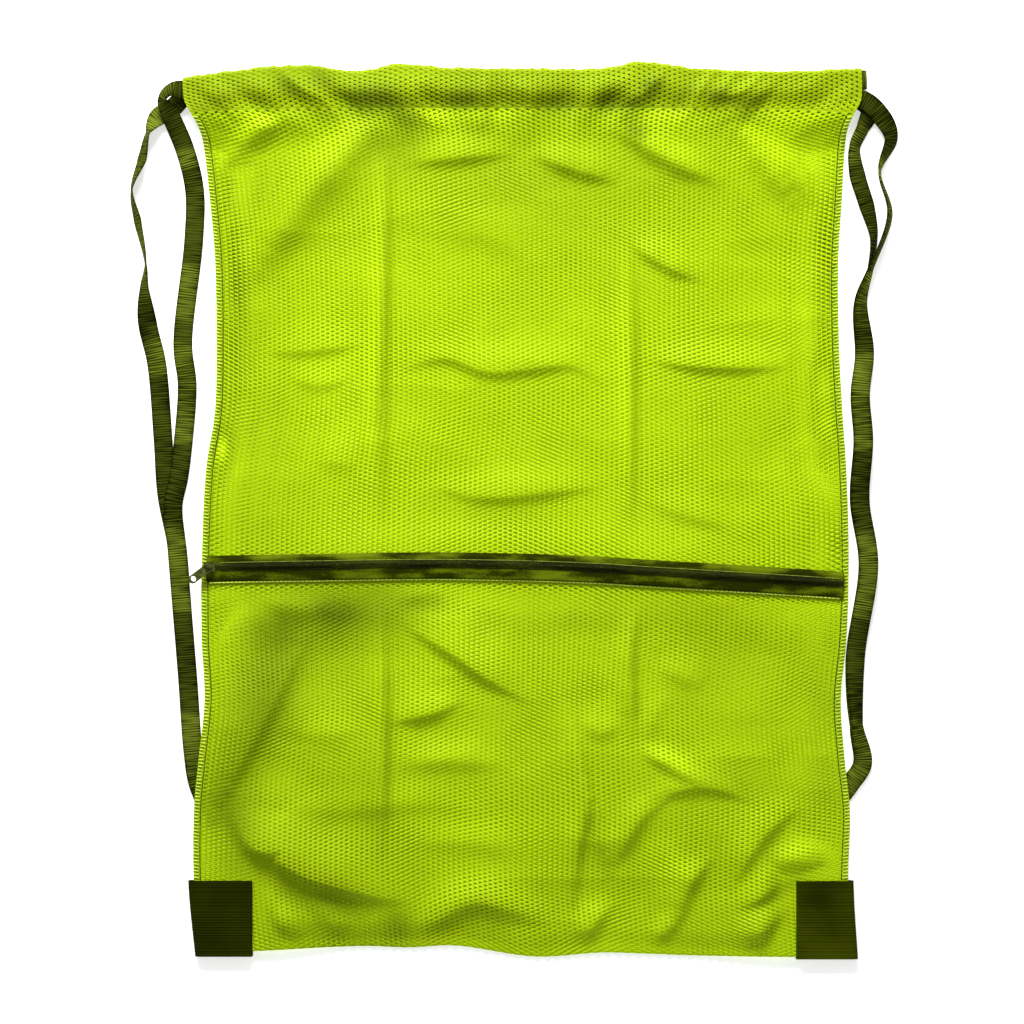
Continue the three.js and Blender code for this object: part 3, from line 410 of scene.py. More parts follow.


# Painted shade on the inner layers, seen through the holes, along the sides and across the pocket
INNER_PAINTED_SHADES = [
    painted_shade(0.62, 8, [
        (-203, 282), (-202, 241), (-200, 203), (-196, 159), (-195, 118), (-200, 56), (-203, -6)
    ]),
    painted_shade(0.62, 9, [(211, 275), (210, 234), (207, 186), (207, 124), (213, 56)]),
    painted_shade(0.4, 26, [
        (-121, -40), (-152, -74), (-178, -116), (-196, -157), (-211, -198), (-217, -246)
    ]),
    painted_shade(0.6, 12, [(-196, -198), (-181, -231), (-145, -253), (-103, -265), (-77, -277)]),
    painted_shade(0.5, 12, [(-97, -297), (-56, -287), (-29, -273), (16, -283)]),
]
# Painted shade on the outer layers along folds, dents, the zip and the tunnel's seam, and painted light
# where the depth is below zero
OUTER_PAINTED_SHADES = [
    painted_shade(0.48, 24, [(-199, -63), (-162, -68), (-125, -69), (-84, -65), (-38, -59)]),
    painted_shade(0.34, 24, [(-152, -65), (-162, -98), (-176, -129), (-193, -170), (-206, -208), (-213, -259)]),
    painted_shade(0.3, 13, [(-204, -270), (-173, -287), (-125, -294), (-70, -292), (-38, -286)]),
    painted_shade(0.4, 11, [(-181, -243), (-152, -259), (-121, -268), (-89, -276)]),
    painted_shade(0.4, 11, [(-93, -266), (-86, -281), (-78, -299)]),
    painted_shade(0.2, 14, [(211, -61), (210, -116), (208, -170), (214, -225)]),
    painted_shade(0.25, 8, [(-148, -63), (-126, -68), (-104, -70)]),
    painted_shade(0.2, 7, [(-89, -62), (-66, -61), (-44, -63)]),
    painted_shade(0.58, 8, [(-132, 286), (-111, 283), (-89, 280), (-70, 271)]),
    painted_shade(0.35, 6, [(-169, 299), (-159, 290), (-148, 283)]),
    painted_shade(0.3, 6, [(-147, 303), (-137, 296), (-126, 288)]),
    painted_shade(0.2, 6, [(-230, 274), (-218, 275), (-206, 277)]),
    painted_shade(0.18, 6, [(-213, 283), (-200, 283), (-188, 283)]),
    painted_shade(0.55, 7, [(-63, 283), (-43, 281), (-18, 282)]),
    painted_shade(0.35, 7, [(-1, 281), (21, 279), (43, 283)]),
    painted_shade(0.45, 7, [(48, 279), (58, 281), (67, 285)]),
    painted_shade(0.4, 6, [(64, 281), (74, 279), (84, 280)]),
    painted_shade(0.5, 6, [(77, 288), (89, 290), (100, 294)]),
    painted_shade(0.3, 6, [(96, 278), (108, 281), (122, 293)]),
    painted_shade(0.5, 6, [(122, 282), (134, 283), (145, 285)]),
    painted_shade(0.35, 6, [(141, 278), (152, 280), (163, 285)]),
    painted_shade(0.4, 8, [(66, 263), (77, 259), (89, 256)]),
    painted_shade(0.15, 6, [(191, 277), (201, 282), (210, 289)]),
    painted_shade(0.24, 6, [(-176, 270), (-120, 271), (-64, 271)]),
    painted_shade(0.34, 7, [(-96, 271), (-78, 267), (-62, 264)]),
    painted_shade(0.2, 7, [(-48, 264), (-32, 261), (-16, 260)]),
    painted_shade(0.2, 6, [(-10, 270), (50, 271), (104, 270)]),
    painted_shade(0.24, 6, [(96, 270), (150, 270), (200, 268)]),
    painted_shade(0.32, 16, [(-202, -84), (-173, -80), (-142, -80)]),
    painted_shade(0.3, 16, [(-204, -172), (-198, -220), (-190, -266)]),
    painted_shade(0.2, 14, [(108, -178), (145, -182), (184, -188)]),
    painted_shade(0.26, 14, [(-126, 240), (-90, 252), (-46, 256)]),
    painted_shade(-0.18, 22, [(-90, -214), (-15, -216), (66, -222)]),
    painted_shade(-0.3, 14, [(78, -226), (95, -232), (114, -238)]),
    painted_shade(-0.22, 13, [(-214, 262), (-193, 262), (-174, 264)]),
    painted_shade(-0.26, 12, [(158, 262), (177, 261), (197, 258)]),
    painted_shade(-0.2, 9, [(196, 262), (206, 260), (214, 256)]),
    painted_shade(0.12, 20, [(-204, 236), (-70, 234), (60, 234), (184, 236)]),
    painted_shade(0.14, 55, [(-330, 218), (-70, 218), (60, 218), (320, 218)]),
    painted_shade(0.12, 26, [(-215, 70), (-175, 55), (-135, 62)]),
    painted_shade(0.1, 26, [(-215, 226), (-180, 222), (-140, 226)]),
    painted_shade(0.1, 24, [(-220, -92), (-180, -104), (-130, -100), (-80, -112)]),
    painted_shade(0.1, 30, [(90, -92), (140, -104), (190, -110), (230, -112)]),
    painted_shade(-0.07, 45, [(-150, -250), (0, -255), (120, -255), (300, -250)]),
    painted_shade(0.16, 15, [(-64, -70), (40, -72), (120, -72), (214, -78)]),
    painted_shade(0.16, 28, [(-196, -74), (-172, -118), (-192, -164)]),
    painted_shade(-0.14, 13, [(-106, -200), (-82, -205), (-58, -208)]),
    painted_shade(-0.14, 13, [(34, -230), (60, -232), (96, -234)]),
    painted_shade(-0.16, 11, [(-166, -258), (-150, -260), (-131, -262)]),
    painted_shade(-0.14, 11, [(-18, -286), (-2, -288), (16, -288)]),
    painted_shade(0.2, 3.4, [(-92, 268), (-92, 206), (-94, 130), (-97, 60), (-95, -28)]),
    painted_shade(-0.16, 5, [(-99, 268), (-99, 206), (-101, 130), (-104, 60), (-102, -28)]),
    painted_shade(0.14, 3.4, [(76, 200), (76, 140), (77, 70), (77, -26)]),
    painted_shade(-0.14, 5, [(69, 200), (69, 140), (70, 70), (70, -26)]),
    painted_shade(0.2, 3.4, [(-93, -52), (-92, -110), (-92, -190), (-94, -246)]),
    painted_shade(0.2, 3.4, [(79, -62), (76, -104), (79, -156)]),
    painted_shade(0.14, 4, [(27, -120), (40, -158), (47, -196), (41, -234), (36, -292)]),
    painted_shade(0.3, 5, [(150, -274), (170, -264), (188, -252), (206, -245)]),
    painted_shade(0.2, 6, [(148, -258), (166, -236), (192, -214)]),
    painted_shade(0.22, 5, [(158, -298), (174, -281), (188, -268)]),
    painted_shade(0.18, 5, [(106, -272), (120, -253), (131, -238)]),
    painted_shade(0.18, 4, [(80, -166), (98, -176), (118, -186)]),
    painted_shade(-0.2, 6, [(80, -157), (98, -166), (118, -176)]),
    painted_shade(-0.16, 9, [(166, -243), (186, -232), (204, -228)]),
]
CREASE_STEPS = 4
CREASE_FADE = 0.42
CREASE_REACH = 2.4
CREASE_END_WIDTH = 0.6
CREASE_JOIN = 3.0

# Strap routes, as in the solids: rise is the lowest edge's height, or in the stacked rows the bow
# of the upper run off the lower one, and lean is the turn out of the flat.
Row = namedtuple("Row", "x y rise lean", defaults=(0, 0))
LEFT_ROUTE = {
    "front_end": [Row(-199.0, -261.5, 1.3), Row(-208.5, -221.0, 1.8), Row(-212.0, -209.0, 1.8)],
    "stacked": [
        Row(-222.0, -186.0),
        Row(-225.5, -163.5),
        Row(-229.0, -115.5),
        Row(-233.5, -60.5),
        Row(-236.5, -24.0),
    ],
    "front": [
        Row(-239.0, 4.0, 1.85),
        Row(-235.0, 24.0, 1.85),
        Row(-232.0, 49.0, 1.6),
        Row(-229.5, 86.5, 0.4),
        Row(-232.5, 115.0, 0.3),
        Row(-225.0, 186.0, 0.3),
        Row(-224.5, 220.5, 0.3),
        Row(-231.0, 248.0, 0.5),
        Row(-240.0, 270.0, 5.0, 15),
        Row(-245.5, 282.0, 6.0, 60),
        Row(-240.0, 288.0, 8.8, 45),
        Row(-233.5, 288.0, 9.6),
    ],
    "tunnels": [
        Row(-185.0, 288.5, 12.0),
        Row(-110.0, 290.0, 14.7),
        Row(0.0, 291.5, 16.2),
        Row(110.0, 292.0, 14.7),
        Row(185.0, 291.0, 12.0),
        Row(222.0, 293.8, 10.15),
        Row(231.0, 295.0, 9.5),
        Row(235.2, 295.2, 5.6),
        Row(231.0, 295.0, 1.6),
        Row(222.0, 293.8, 1.5),
        Row(150.0, 291.0, 1.5),
        Row(-150.0, 286.0, 1.5),
        Row(-230.0, 284.5, 1.5),
    ],
    "back": [
        Row(-239.0, 277.0, 0.5),
        Row(-249.0, 270.5, 0.3, 5),
        Row(-256.0, 259.0, 0.3, 75),
        Row(-260.0, 241.0, 0.3, 57),
        Row(-267.0, 220.0, 0.3, 83),
        Row(-263.0, 199.0, 0.3, 64),
        Row(-257.5, 170.0, 0.3, 84),
        Row(-258.5, 152.0, 0.3, 58),
        Row(-256.5, 128.0, 0.3),
        Row(-250.5, 102.0, 0.3),
        Row(-246.0, 49.0, 0.3),
        Row(-243.5, 12.0, 0.3),
    ],
    "back_end": [Row(-213.5, -209.0, 0.3), Row(-217.0, -221.0, 0.3), Row(-214.5, -261.5, 1.3)],
}
RIGHT_ROUTE = {
    "front_end": [Row(201.0, -261.5, 1.3), Row(209.0, -221.0, 1.8), Row(211.5, -206.0, 1.8)],
    "stacked": [
        Row(224.5, -187.0),
        Row(233.0, -173.0, 0, -4),
        Row(228.0, -146.0, 0, -50),
        Row(228.0, -100.0, 0.8, -8),
        Row(237.0, -36.0, 6.0),
        Row(231.0, 8.0, 6.5),
        Row(233.5, 49.0, 6.0),
        Row(231.5, 80.0, 3.2),
        Row(234.5, 108.0, 0.8),
        Row(231.0, 143.0, 0, -50),
        Row(237.5, 166.0, 0, -77),
    ],
    "front": [
        Row(251.5, 204.0, 0.3, -71),
        Row(244.5, 233.0, 0.3, -80),
        Row(252.5, 256.0, 0.6, -40),
        Row(246.0, 270.0, 5.0),
        Row(232.5, 281.5, 7.9),
    ],
    "tunnels": [
        Row(185.0, 284.2, 10.3),
        Row(110.0, 285.0, 13.0),
        Row(0.0, 285.5, 14.5),
        Row(-110.0, 285.5, 13.0),
        Row(-185.0, 285.5, 10.3),
        Row(-216.0, 285.5, 8.7),
        Row(-227.0, 285.5, 8.0),
        Row(-230.4, 285.5, 5.6),
        Row(-227.0, 285.5, 3.25),
        Row(-216.0, 285.5, 3.2),
        Row(150.0, 285.0, 3.2),
        Row(205.0, 283.4, 3.2),
        Row(231.0, 281.5, 3.2),
    ],
    "back": [
        Row(238.0, 275.0, 1.2, -5),
        Row(233.0, 262.0, 0.3, -45),
        Row(227.5, 249.0, 0.3, -52),
        Row(229.5, 230.5, 0.3, -26),
        Row(236.0, 209.0, 0.3, -30),
        Row(240.5, 187.0, 0.3, -64),
    ],
    "back_end": [Row(212.5, -206.0, 0.3), Row(216.5, -221.0, 0.3), Row(216.5, -261.5, 1.3)],
}


# Curves and heights
def smooth(value, start, end):
    """0 before start, 1 after end, and a smooth step between them."""
    share = np.clip((value - start) / (end - start), 0, 1)
    return share * share * (3 - 2 * share)


def mix(a, b, share):
    return a + (b - a) * share


def curve_of(rows, key, column):
    """A smooth curve through one column of a table, as a function of another column."""
    ordered = sorted(rows, key=lambda row: getattr(row, key))
    knots = np.array([getattr(row, key) for row in ordered])
    values = np.array([getattr(row, column) for row in ordered])
    before = np.maximum(np.arange(len(knots)) - 1, 0)
    after = np.minimum(np.arange(len(knots)) + 1, len(knots) - 1)
    slopes = (values[after] - values[before]) / (knots[after] - knots[before])

    def at(x):
        i = np.clip(np.searchsorted(knots, x) - 1, 0, len(knots) - 2)
        span = knots[i + 1] - knots[i]
        t = np.clip((x - knots[i]) / span, 0, 1)
        bend = ((1 - t) * slopes[i] - t * slopes[i + 1]) * span
        lean = (values[i + 1] - values[i]) * (2 * t - 1)
        return mix(values[i], values[i + 1], t) + t * (1 - t) * (bend + lean)

    return at


left_edge = curve_of(EDGES, "y", "left")
right_edge = curve_of(EDGES, "y", "right")
line_curves = {name: curve_of(LINES, "x", name) for name in ("bottom", "coil", "seam", "top")}
HALF_WIDTH = LINES[-1].x


def line_at(name, u):
    """Height up the bag of one of its lines, at a share of the bag's width."""
    return line_curves[name](mix(-HALF_WIDTH, HALF_WIDTH, u))


def across_at(u, y):
    return mix(left_edge(y), right_edge(y), u)


def share_at(x, y):
    return (x - left_edge(y)) / (right_edge(y) - left_edge(y))


def side_distance(u):
    return np.minimum(u, 1 - u)


def corner_noise(i, j, seed):
    """A fixed number from 0 to 1 for each corner of a grid."""
    value = np.sin(i * NOISE_TURNS[0] + j * NOISE_TURNS[1] + seed * NOISE_TURNS[2]) * NOISE_SPREAD
    return value - np.floor(value)


def noise(x, y, seed):
    """Smooth noise from -1 to 1, one unit from corner to corner."""
    i, j = np.floor(x), np.floor(y)
    s, t = smooth(x - i, 0, 1), smooth(y - j, 0, 1)
    low = mix(corner_noise(i, j, seed), corner_noise(i + 1, j, seed), s)
    high = mix(corner_noise(i, j + 1, seed), corner_noise(i + 1, j + 1, seed), s)
    return 2 * mix(low, high, t) - 1


def wave_at(wave, x, y, seed):
    return wave.height * noise(x / wave.across, y / wave.along, seed)


def spline_segment(points, i, shares):
    """Points and tangents of a centripetal spline between two of its points."""
    count = len(points)
    before = points[i - 1] if i > 0 else 2 * points[0] - points[1]
    after = points[i + 2] if i + 2 < count else 2 * points[-1] - points[-2]
    a, b = points[i], points[i + 1]
    step = [math.sqrt(np.linalg.norm(q - p)) for p, q in ((before, a), (a, b), (b, after))]
    start = (a - before) / step[0] - (b - before) / (step[0] + step[1]) + (b - a) / step[1]
    end = (b - a) / step[1] - (after - a) / (step[1] + step[2]) + (after - b) / step[2]
    start, end = start * step[1], end * step[1]
    square = 3 * (b - a) - 2 * start - end
    cube = 2 * (a - b) + start + end
    t = shares[:, None]
    return a + t * start + t**2 * square + t**3 * cube, start + 2 * t * square + 3 * t**2 * cube


def spline(line, steps):
    """A smooth line through the given points, with some steps between each two."""
    points = np.array(line, dtype=float)
    shares = np.arange(steps) / steps
    pieces = [spline_segment(points, i, shares)[0] for i in range(len(points) - 1)]
    return np.concatenate([*pieces, points[-1:]])


def crease_height(crease, x, y):
    """A ridge along a line, gentle on its left hand and steep on its right."""
    line = spline(crease.line, CREASE_STEPS)
    height = np.zeros(np.shape(x))
    reach = CREASE_REACH * max(crease.soft, crease.steep)
    low, high = line.min(axis=0) - reach, line.max(axis=0) + reach
    near = (x > low[0]) & (x < high[0]) & (y > low[1]) & (y < high[1])
    if not near.any():
        return height
    step_x, step_y = np.diff(line, axis=0).T[:, :, None]
    length = np.hypot(step_x, step_y)
    gone = np.cumsum(length)[:, None] - length
    away_x, away_y = x[near] - line[:-1, :1], y[near] - line[:-1, 1:]
    held = np.clip((away_x * step_x + away_y * step_y) / length, 0, length)
    distance = np.hypot(away_x - step_x * held / length, away_y - step_y * held / length)
    best = distance.min(axis=0)
    hand = step_x * away_y - step_y * away_x
    left_hand = np.take_along_axis(hand, distance.argmin(axis=0)[None], axis=0)[0]
    weight = np.exp((best - distance) / CREASE_JOIN)
    share = (weight * (gone + held)).sum(axis=0) / weight.sum(axis=0) / length.sum()
    fade = smooth(np.minimum(share, 1 - share), 0, CREASE_FADE)
    width = np.where(left_hand > 0, crease.soft, crease.steep) * mix(CREASE_END_WIDTH, 1, fade)
    height[near] = crease.height * np.exp(-((best / width) ** 2)) * fade
    return height


def creases_at(creases, x, y):
    return sum(crease_height(crease, x, y) for crease in creases)


def wrinkles(x, y, seed):
    """Small soft creases, longer across the bag than along it."""
    sway = wave_at(WRINKLE_SWAY, x, y, seed + 5)
    broad = wave_at(WRINKLE_BROAD, x, y + sway, seed)
    fine = wave_at(WRINKLE_FINE, x, y + sway, seed + 1)
    sharp = np.abs(wave_at(WRINKLE_SHARP, x, y - sway, seed + 2))
    return broad + fine - sharp


def corner_lift(u, y):
    inwards = side_distance(u) * (right_edge(y) - left_edge(y))
    return CORNER_LIFT * (1 - smooth(inwards, *CORNER_REACH)) * (1 - smooth(y, *CORNER_HEIGHT))


def back_height(u, y):
    return CLOTH / 2 + corner_lift(u, y)


def front_hem_height(u):
    opening = MOUTH_END_GAP + (MOUTH_GAP - MOUTH_END_GAP) * (1 - (2 * u - 1) ** 2)
    return BACK_HEM_TOP + opening + CLOTH * 1.5 + TUNNEL_HOLLOW


def zip_nearness(u, y):
    return np.exp(-(((y - line_at("coil", u)) / ZIP_SHELF_REACH) ** 2))


def seam_pinch(u, y):
    """Depth of the valley that the tunnel's seam makes."""
    depth = SEAM_PINCH * smooth(side_distance(u), 0, SEAM_PINCH_SIDE)
    return depth * np.exp(-(((y - line_at("seam", u)) / SEAM_PINCH_REACH) ** 2))


def puckers(u, y):
    """Slanting gathers in the tunnel and just below its seam."""
    up = y - line_at("seam", u)
    x = across_at(u, y)
    along = x + PUCKER_SLANT * up * (1 - 2 * u)
    valley = np.abs(noise(along / PUCKER_PITCH, up / PUCKER_LENGTH, SEEDS["puckers"]))
    ridge = np.maximum(1 - 2 * valley, PUCKER_DEEPEST)
    window = np.exp(-(((up - PUCKER_MIDDLE) / PUCKER_REACH) ** 2))
    return PUCKER * ridge * window * smooth(side_distance(u), 0, FADE_AT_SIDE)


def front_base(u, y):
    bottom = line_at("bottom", u)
    dome = DOME * smooth(side_distance(u), 0, DOME_SIDE) * smooth(y, bottom, bottom + DOME_FOOT)
    body = back_height(u, y) + STEP_UP + dome
    body = body + ZIP_SHELF * smooth(side_distance(u), 0, DOME_SIDE) * zip_nearness(u, y)
    seam = line_at("seam", u)
    hem = smooth(y, seam - HEM_BLEND, seam)
    return mix(body, front_hem_height(u), hem) - seam_pinch(u, y) + puckers(u, y)


def front_height(u, y):
    above_zip = smooth(y - line_at("coil", u), *FADE_ABOVE_ZIP)
    below_seam = smooth(line_at("seam", u) - y, 0, FADE_AT_SEAM)
    inside = smooth(side_distance(u), 0, FADE_AT_SIDE)
    x = across_at(u, y)
    relief = creases_at(UPPER_CREASES, x, y) + wrinkles(x, y, SEEDS["upper"])
    return front_base(u, y) + relief * above_zip * below_seam * inside


def clear_of_patch(u, y):
    inwards = side_distance(u) * (right_edge(y) - left_edge(y))
    none, full = FADE_AT_PATCH
    clear_side = smooth(inwards, PATCH_WIDTH + none, PATCH_WIDTH + full)
    clear_top = smooth(y, PATCHES["left"].top + none, PATCHES["left"].top + full)
    return np.maximum(clear_side, clear_top)


def pocket_height(u, y):
    under_zip = smooth(line_at("coil", u) - y, *FADE_BELOW_ZIP)
    over_foot = smooth(y - line_at("bottom", u), 0, FADE_AT_FOOT)
    inside = smooth(side_distance(u), 0, FADE_AT_SIDE)
    room = under_zip * over_foot * inside * clear_of_patch(u, y)
    x = across_at(u, y)
    relief = creases_at(POCKET_CREASES, x, y) + wrinkles(x, y, SEEDS["pocket"])
    rise = POCKET_RISE * smooth(side_distance(u), 0, DOME_SIDE)
    return front_base(u, y) + STEP_UP + room * (rise + relief)


# Mesh making
def new_object(name, points, faces, uv, material, lattice=None, tone=None):
    """A smooth-shaded mesh from points in millimetres, one UV per point, riding on the bag."""
    mesh = bpy.data.meshes.new(name)
    mesh.from_pydata((np.asarray(points) * MM).tolist(), [], faces)
    corners = np.empty(len(mesh.loops), dtype=np.int32)
    mesh.loops.foreach_get("vertex_index", corners)
    maps = {"OFBake": uv} if lattice is None else {"OFBake": uv, LATTICE: lattice}
    for map_name, places in maps.items():
        layer = mesh.uv_layers.new(name=map_name)
        layer.data.foreach_set("uv", np.asarray(places, dtype=np.float32)[corners].ravel())
    if tone is not None:
        mesh.attributes.new(TONE, "FLOAT", "POINT").data.foreach_set("value", tone.astype(np.float32))
    mesh.polygons.foreach_set("use_smooth", np.ones(len(mesh.polygons), dtype=bool))
    mesh.validate()
    mesh.update()
    mesh.materials.append(material)
    piece = bpy.data.objects.new(name, mesh)
    bpy.context.scene.collection.objects.link(piece)
    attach(piece, BODY)
    return piece


def even(number):
    """Nearest even number, and at least four."""
    return 2 * max(2, round(number / 2))


def hole_tilt(x, y):
    """Slope of the holes, which stretch one way or the other in patches of the net."""
    way = 2 * noise(x / HOLE_TILT_PATCH, y / HOLE_TILT_PATCH, SEEDS["tilt"])
    return HOLE_TILT * np.clip(way, -1, 1)


# Corners of a hole, counted from its right tip
RIGHT, UPPER_RIGHT, UPPER_LEFT, LEFT, LOWER_LEFT, LOWER_RIGHT = range(HOLE_SIDES)


def corner(hole, which):
    """Number of one of a hole's corners among the net's points."""
    return hole * HOLE_SIDES + which


def yarn_faces(index, k, j):
    """Faces of the yarn between each hole and the holes above it."""
    here, above = index[k, j], index[k, j + 2]
    right, left = index[k + 1, j + 1], index[k - 1, j + 1]

    def strip(present, *corners):
        return np.stack([corner(hole[present], which) for hole, which in corners], axis=1).tolist()

    over, to_right, to_left = above >= 0, right >= 0, left >= 0
    return [
        *strip(over, (here, UPPER_LEFT), (here, UPPER_RIGHT), (above, LOWER_RIGHT), (above, LOWER_LEFT)),
        *strip(to_right, (here, RIGHT), (right, LOWER_LEFT), (right, LEFT), (here, UPPER_RIGHT)),
        *strip(to_left, (here, LEFT), (here, UPPER_LEFT), (left, RIGHT), (left, LOWER_RIGHT)),
        *strip(over & to_right, (here, UPPER_RIGHT), (right, LEFT), (above, LOWER_RIGHT)),
        *strip(over & to_left, (here, UPPER_LEFT), (above, LOWER_LEFT), (left, RIGHT)),
    ]


def border_faces(index, columns, rows, reach):
    """Plain selvedge that closes a net along its four sides, and its own points as shares."""
    points = []
    holes = index.max() + 1

    def border(u, v):
        points.append((u, v))
        return corner(holes, 0) + len(points) - 1

    first, last, top = 1, columns - 1, rows - 1
    left_line = {row: border(0, row / rows) for row in range(1, rows, 2)}
    right_line = {row: border(1, row / rows) for row in range(1, rows, 2)}
    faces = []
    for row in range(1, top, 2):
        low, high = index[first, row], index[first, row + 2]
        bend = [corner(low, LEFT), corner(low, UPPER_LEFT), corner(high, LOWER_LEFT), corner(high, LEFT)]
        faces.append([left_line[row], *bend, left_line[row + 2]])
        low, high = index[last, row], index[last, row + 2]
        bend = [corner(high, RIGHT), corner(high, LOWER_RIGHT), corner(low, UPPER_RIGHT), corner(low, RIGHT)]
        faces.append([right_line[row], right_line[row + 2], *bend])

    foot, head = (1, 0, 1, LOWER_LEFT, LOWER_RIGHT), (top, 1, -1, UPPER_LEFT, UPPER_RIGHT)
    for row, v, inwards, near_left, near_right in (foot, head):
        start = {col: border(col / columns - reach, v) for col in range(1, columns, 2)}
        stop = {col: border(col / columns + reach, v) for col in range(1, columns, 2)}
        edge = []
        for col in range(1, columns, 2):
            hole = index[col, row]
            edge.append([start[col], stop[col], corner(hole, near_right), corner(hole, near_left)])
            if col == last:
                break
            after, between = index[col + 2, row], index[col + 1, row + inwards]
            ahead = [start[col + 2], corner(after, near_left), corner(after, LEFT)]
            middle = [corner(between, near_right), corner(between, near_left)]
            edge.append([stop[col], *ahead, *middle, corner(hole, RIGHT), corner(hole, near_right)])
        hole = index[first, row]
        bend = [corner(hole, near_left), corner(hole, LEFT)]
        edge.append([border(0, v), start[first], *bend, left_line[row]])
        hole = index[last, row]
        bend = [corner(hole, RIGHT), corner(hole, near_right)]
        edge.append([stop[last], border(1, v), right_line[row], *bend])
        faces += edge if row == first else [face[::-1] for face in edge]
    return faces, points


def net_mesh(width, length, surface, openness, tightness):
    """Points, faces, UVs and hole numbers of a net of staggered holes over a surface of two shares."""
    columns = even(2 * width / NET_PITCH[0] * tightness)
    rows = even(2 * length / NET_PITCH[1] * tightness)
    k, j = np.meshgrid(np.arange(1, columns), np.arange(1, rows), indexing="ij")
    keep = (k + j) % 2 == 0
    k, j = k[keep], j[keep]
    index = np.full((columns + 2, rows + 3), -1)
    index[k, j] = np.arange(len(k))

    tip, shoulder, half = HOLE_TIP, HOLE_SHOULDER, HOLE_HALF
    corner_x = np.array([tip, shoulder, -shoulder, -tip, -shoulder, shoulder])
    corner_y = np.array([0, half, half, 0, -half, -half])
    size = openness(k / columns, j / rows)[:, None]
    tilt = hole_tilt(k / columns * width, j / rows * length + length)[:, None]
    hole_u = k[:, None] / columns + corner_x * size / width
    hole_v = j[:, None] / rows + (corner_y + corner_x * tilt) * size / length
    edge_faces, edge = border_faces(index, columns, rows, shoulder / width)
    shares = np.concatenate([np.stack([hole_u.ravel(), hole_v.ravel()], axis=1), edge])
    points = surface(*shares.T)
    dips = np.where(np.abs(corner_x) == tip, TIP_DIP, 0.0)
    points[:corner(len(k), 0), 2] -= np.tile(dips, len(k))
    faces = yarn_faces(index, k, j) + edge_faces
    return points, faces, shares, shares * (columns, rows)


def sheet_mesh(grid, thickness):
    """A closed solid of even thickness along a grid of points, with its UVs."""
    rows, columns = grid.shape[:2]
    across = np.gradient(grid, axis=1)
    along = np.gradient(grid, axis=0)
    normal = np.cross(across, along)
    normal /= np.linalg.norm(normal, axis=2, keepdims=True)
    upper = grid + normal * thickness / 2
    lower = grid - normal * thickness / 2
    points = np.concatenate([upper.reshape(-1, 3), lower.reshape(-1, 3)])
    number = np.arange(rows * columns).reshape(rows, columns)
    a, b = number[:-1, :-1].ravel(), number[:-1, 1:].ravel()
    c, d = number[1:, 1:].ravel(), number[1:, :-1].ravel()
    under = rows * columns
    faces = np.stack([a, b, c, d], axis=1).tolist()
    faces += (np.stack([d, c, b, a], axis=1) + under).tolist()
    rim = np.concatenate([number[0, :], number[1:, -1], number[-1, -2::-1], number[-2:0:-1, 0]])
    ahead = np.roll(rim, -1)
    faces += np.stack([rim, rim + under, ahead + under, ahead], axis=1).tolist()
    v, u = np.meshgrid(np.linspace(0, 1, rows), np.linspace(0, 1, columns), indexing="ij")
    half = np.stack([u.ravel(), v.ravel() / 2], axis=1)
    return points, faces, np.concatenate([half, half + [0, 0.5]])


def tube_faces(shape):
    """Numbers of the points of many tubes of rings, and the faces along their sides."""
    number = np.arange(math.prod(shape)).reshape(shape)
    beside = np.roll(number, -1, axis=2)
    return number, np.stack([number[:, :-1], number[:, 1:], beside[:, 1:], beside[:, :-1]], axis=3)


# Materials
def new_material(name, roughness, **values):
    material = bpy.data.materials.new(name)
    material.use_nodes = True
    shader = material.node_tree.nodes["Principled BSDF"]
    shader.inputs["Roughness"].default_value = roughness
    for socket, value in values.items():
        shader.inputs[socket.replace("_", " ")].default_value = value
    return material, shader


def add_node(material, kind, **inputs):
    made = material.node_tree.nodes.new(kind)
    for socket, value in inputs.items():
        made.inputs[socket.replace("_", " ")].default_value = value
    return made


def link(material, output, target):
    material.node_tree.links.new(output, target)


def noise_node(material, scale, detail):
    place = add_node(material, "ShaderNodeTexCoord")
    made = add_node(material, "ShaderNodeTexNoise", Scale=scale, Detail=detail)
    link(material, place.outputs["Object"], made.inputs["Vector"])
    return made.outputs["Fac"]


def stretched_noise(material, place, stretch, detail):
    """Noise that is drawn out along the axes of a place."""
    mapping = add_node(material, "ShaderNodeMapping", Scale=stretch)
    link(material, place, mapping.inputs["Vector"])
    made = add_node(material, "ShaderNodeTexNoise", Scale=1.0, Detail=detail)
    link(material, mapping.outputs["Vector"], made.inputs["Vector"])
    return made.outputs["Fac"]


def lattice_axes(material):
    """A mesh's own weave or knit coordinates, and their two axes."""
    place = material.node_tree.nodes.new("ShaderNodeUVMap")
    place.uv_map = LATTICE
    split = add_node(material, "ShaderNodeSeparateXYZ")
    link(material, place.outputs["UV"], split.inputs["Vector"])
    return place.outputs["UV"], split.outputs["X"], split.outputs["Y"]


def math_node(material, operation, *values):
    made = material.node_tree.nodes.new("ShaderNodeMath")
    made.operation = operation
    for socket, value in zip(made.inputs, values):
        if isinstance(value, (int, float)):
            socket.default_value = value
        else:
            link(material, value, socket)
    return made.outputs[0]


def swing(material, factor, amount):
    """A factor from 0 to 1 as a swing to both sides of zero."""
    return math_node(material, "MULTIPLY", math_node(material, "SUBTRACT", factor, 0.5), amount)


def shaded_colour(material, shader, factor, colours, spread=(0.3, 0.7)):
    """Base colour that runs from dark to light with a factor."""
    ramp = material.node_tree.nodes.new("ShaderNodeValToRGB")
    for stop, place, colour in zip(ramp.color_ramp.elements, spread, colours):
        stop.position = place
        stop.color = (*colour, 1)
    link(material, factor, ramp.inputs["Fac"])
    link(material, ramp.outputs["Color"], shader.inputs["Base Color"])


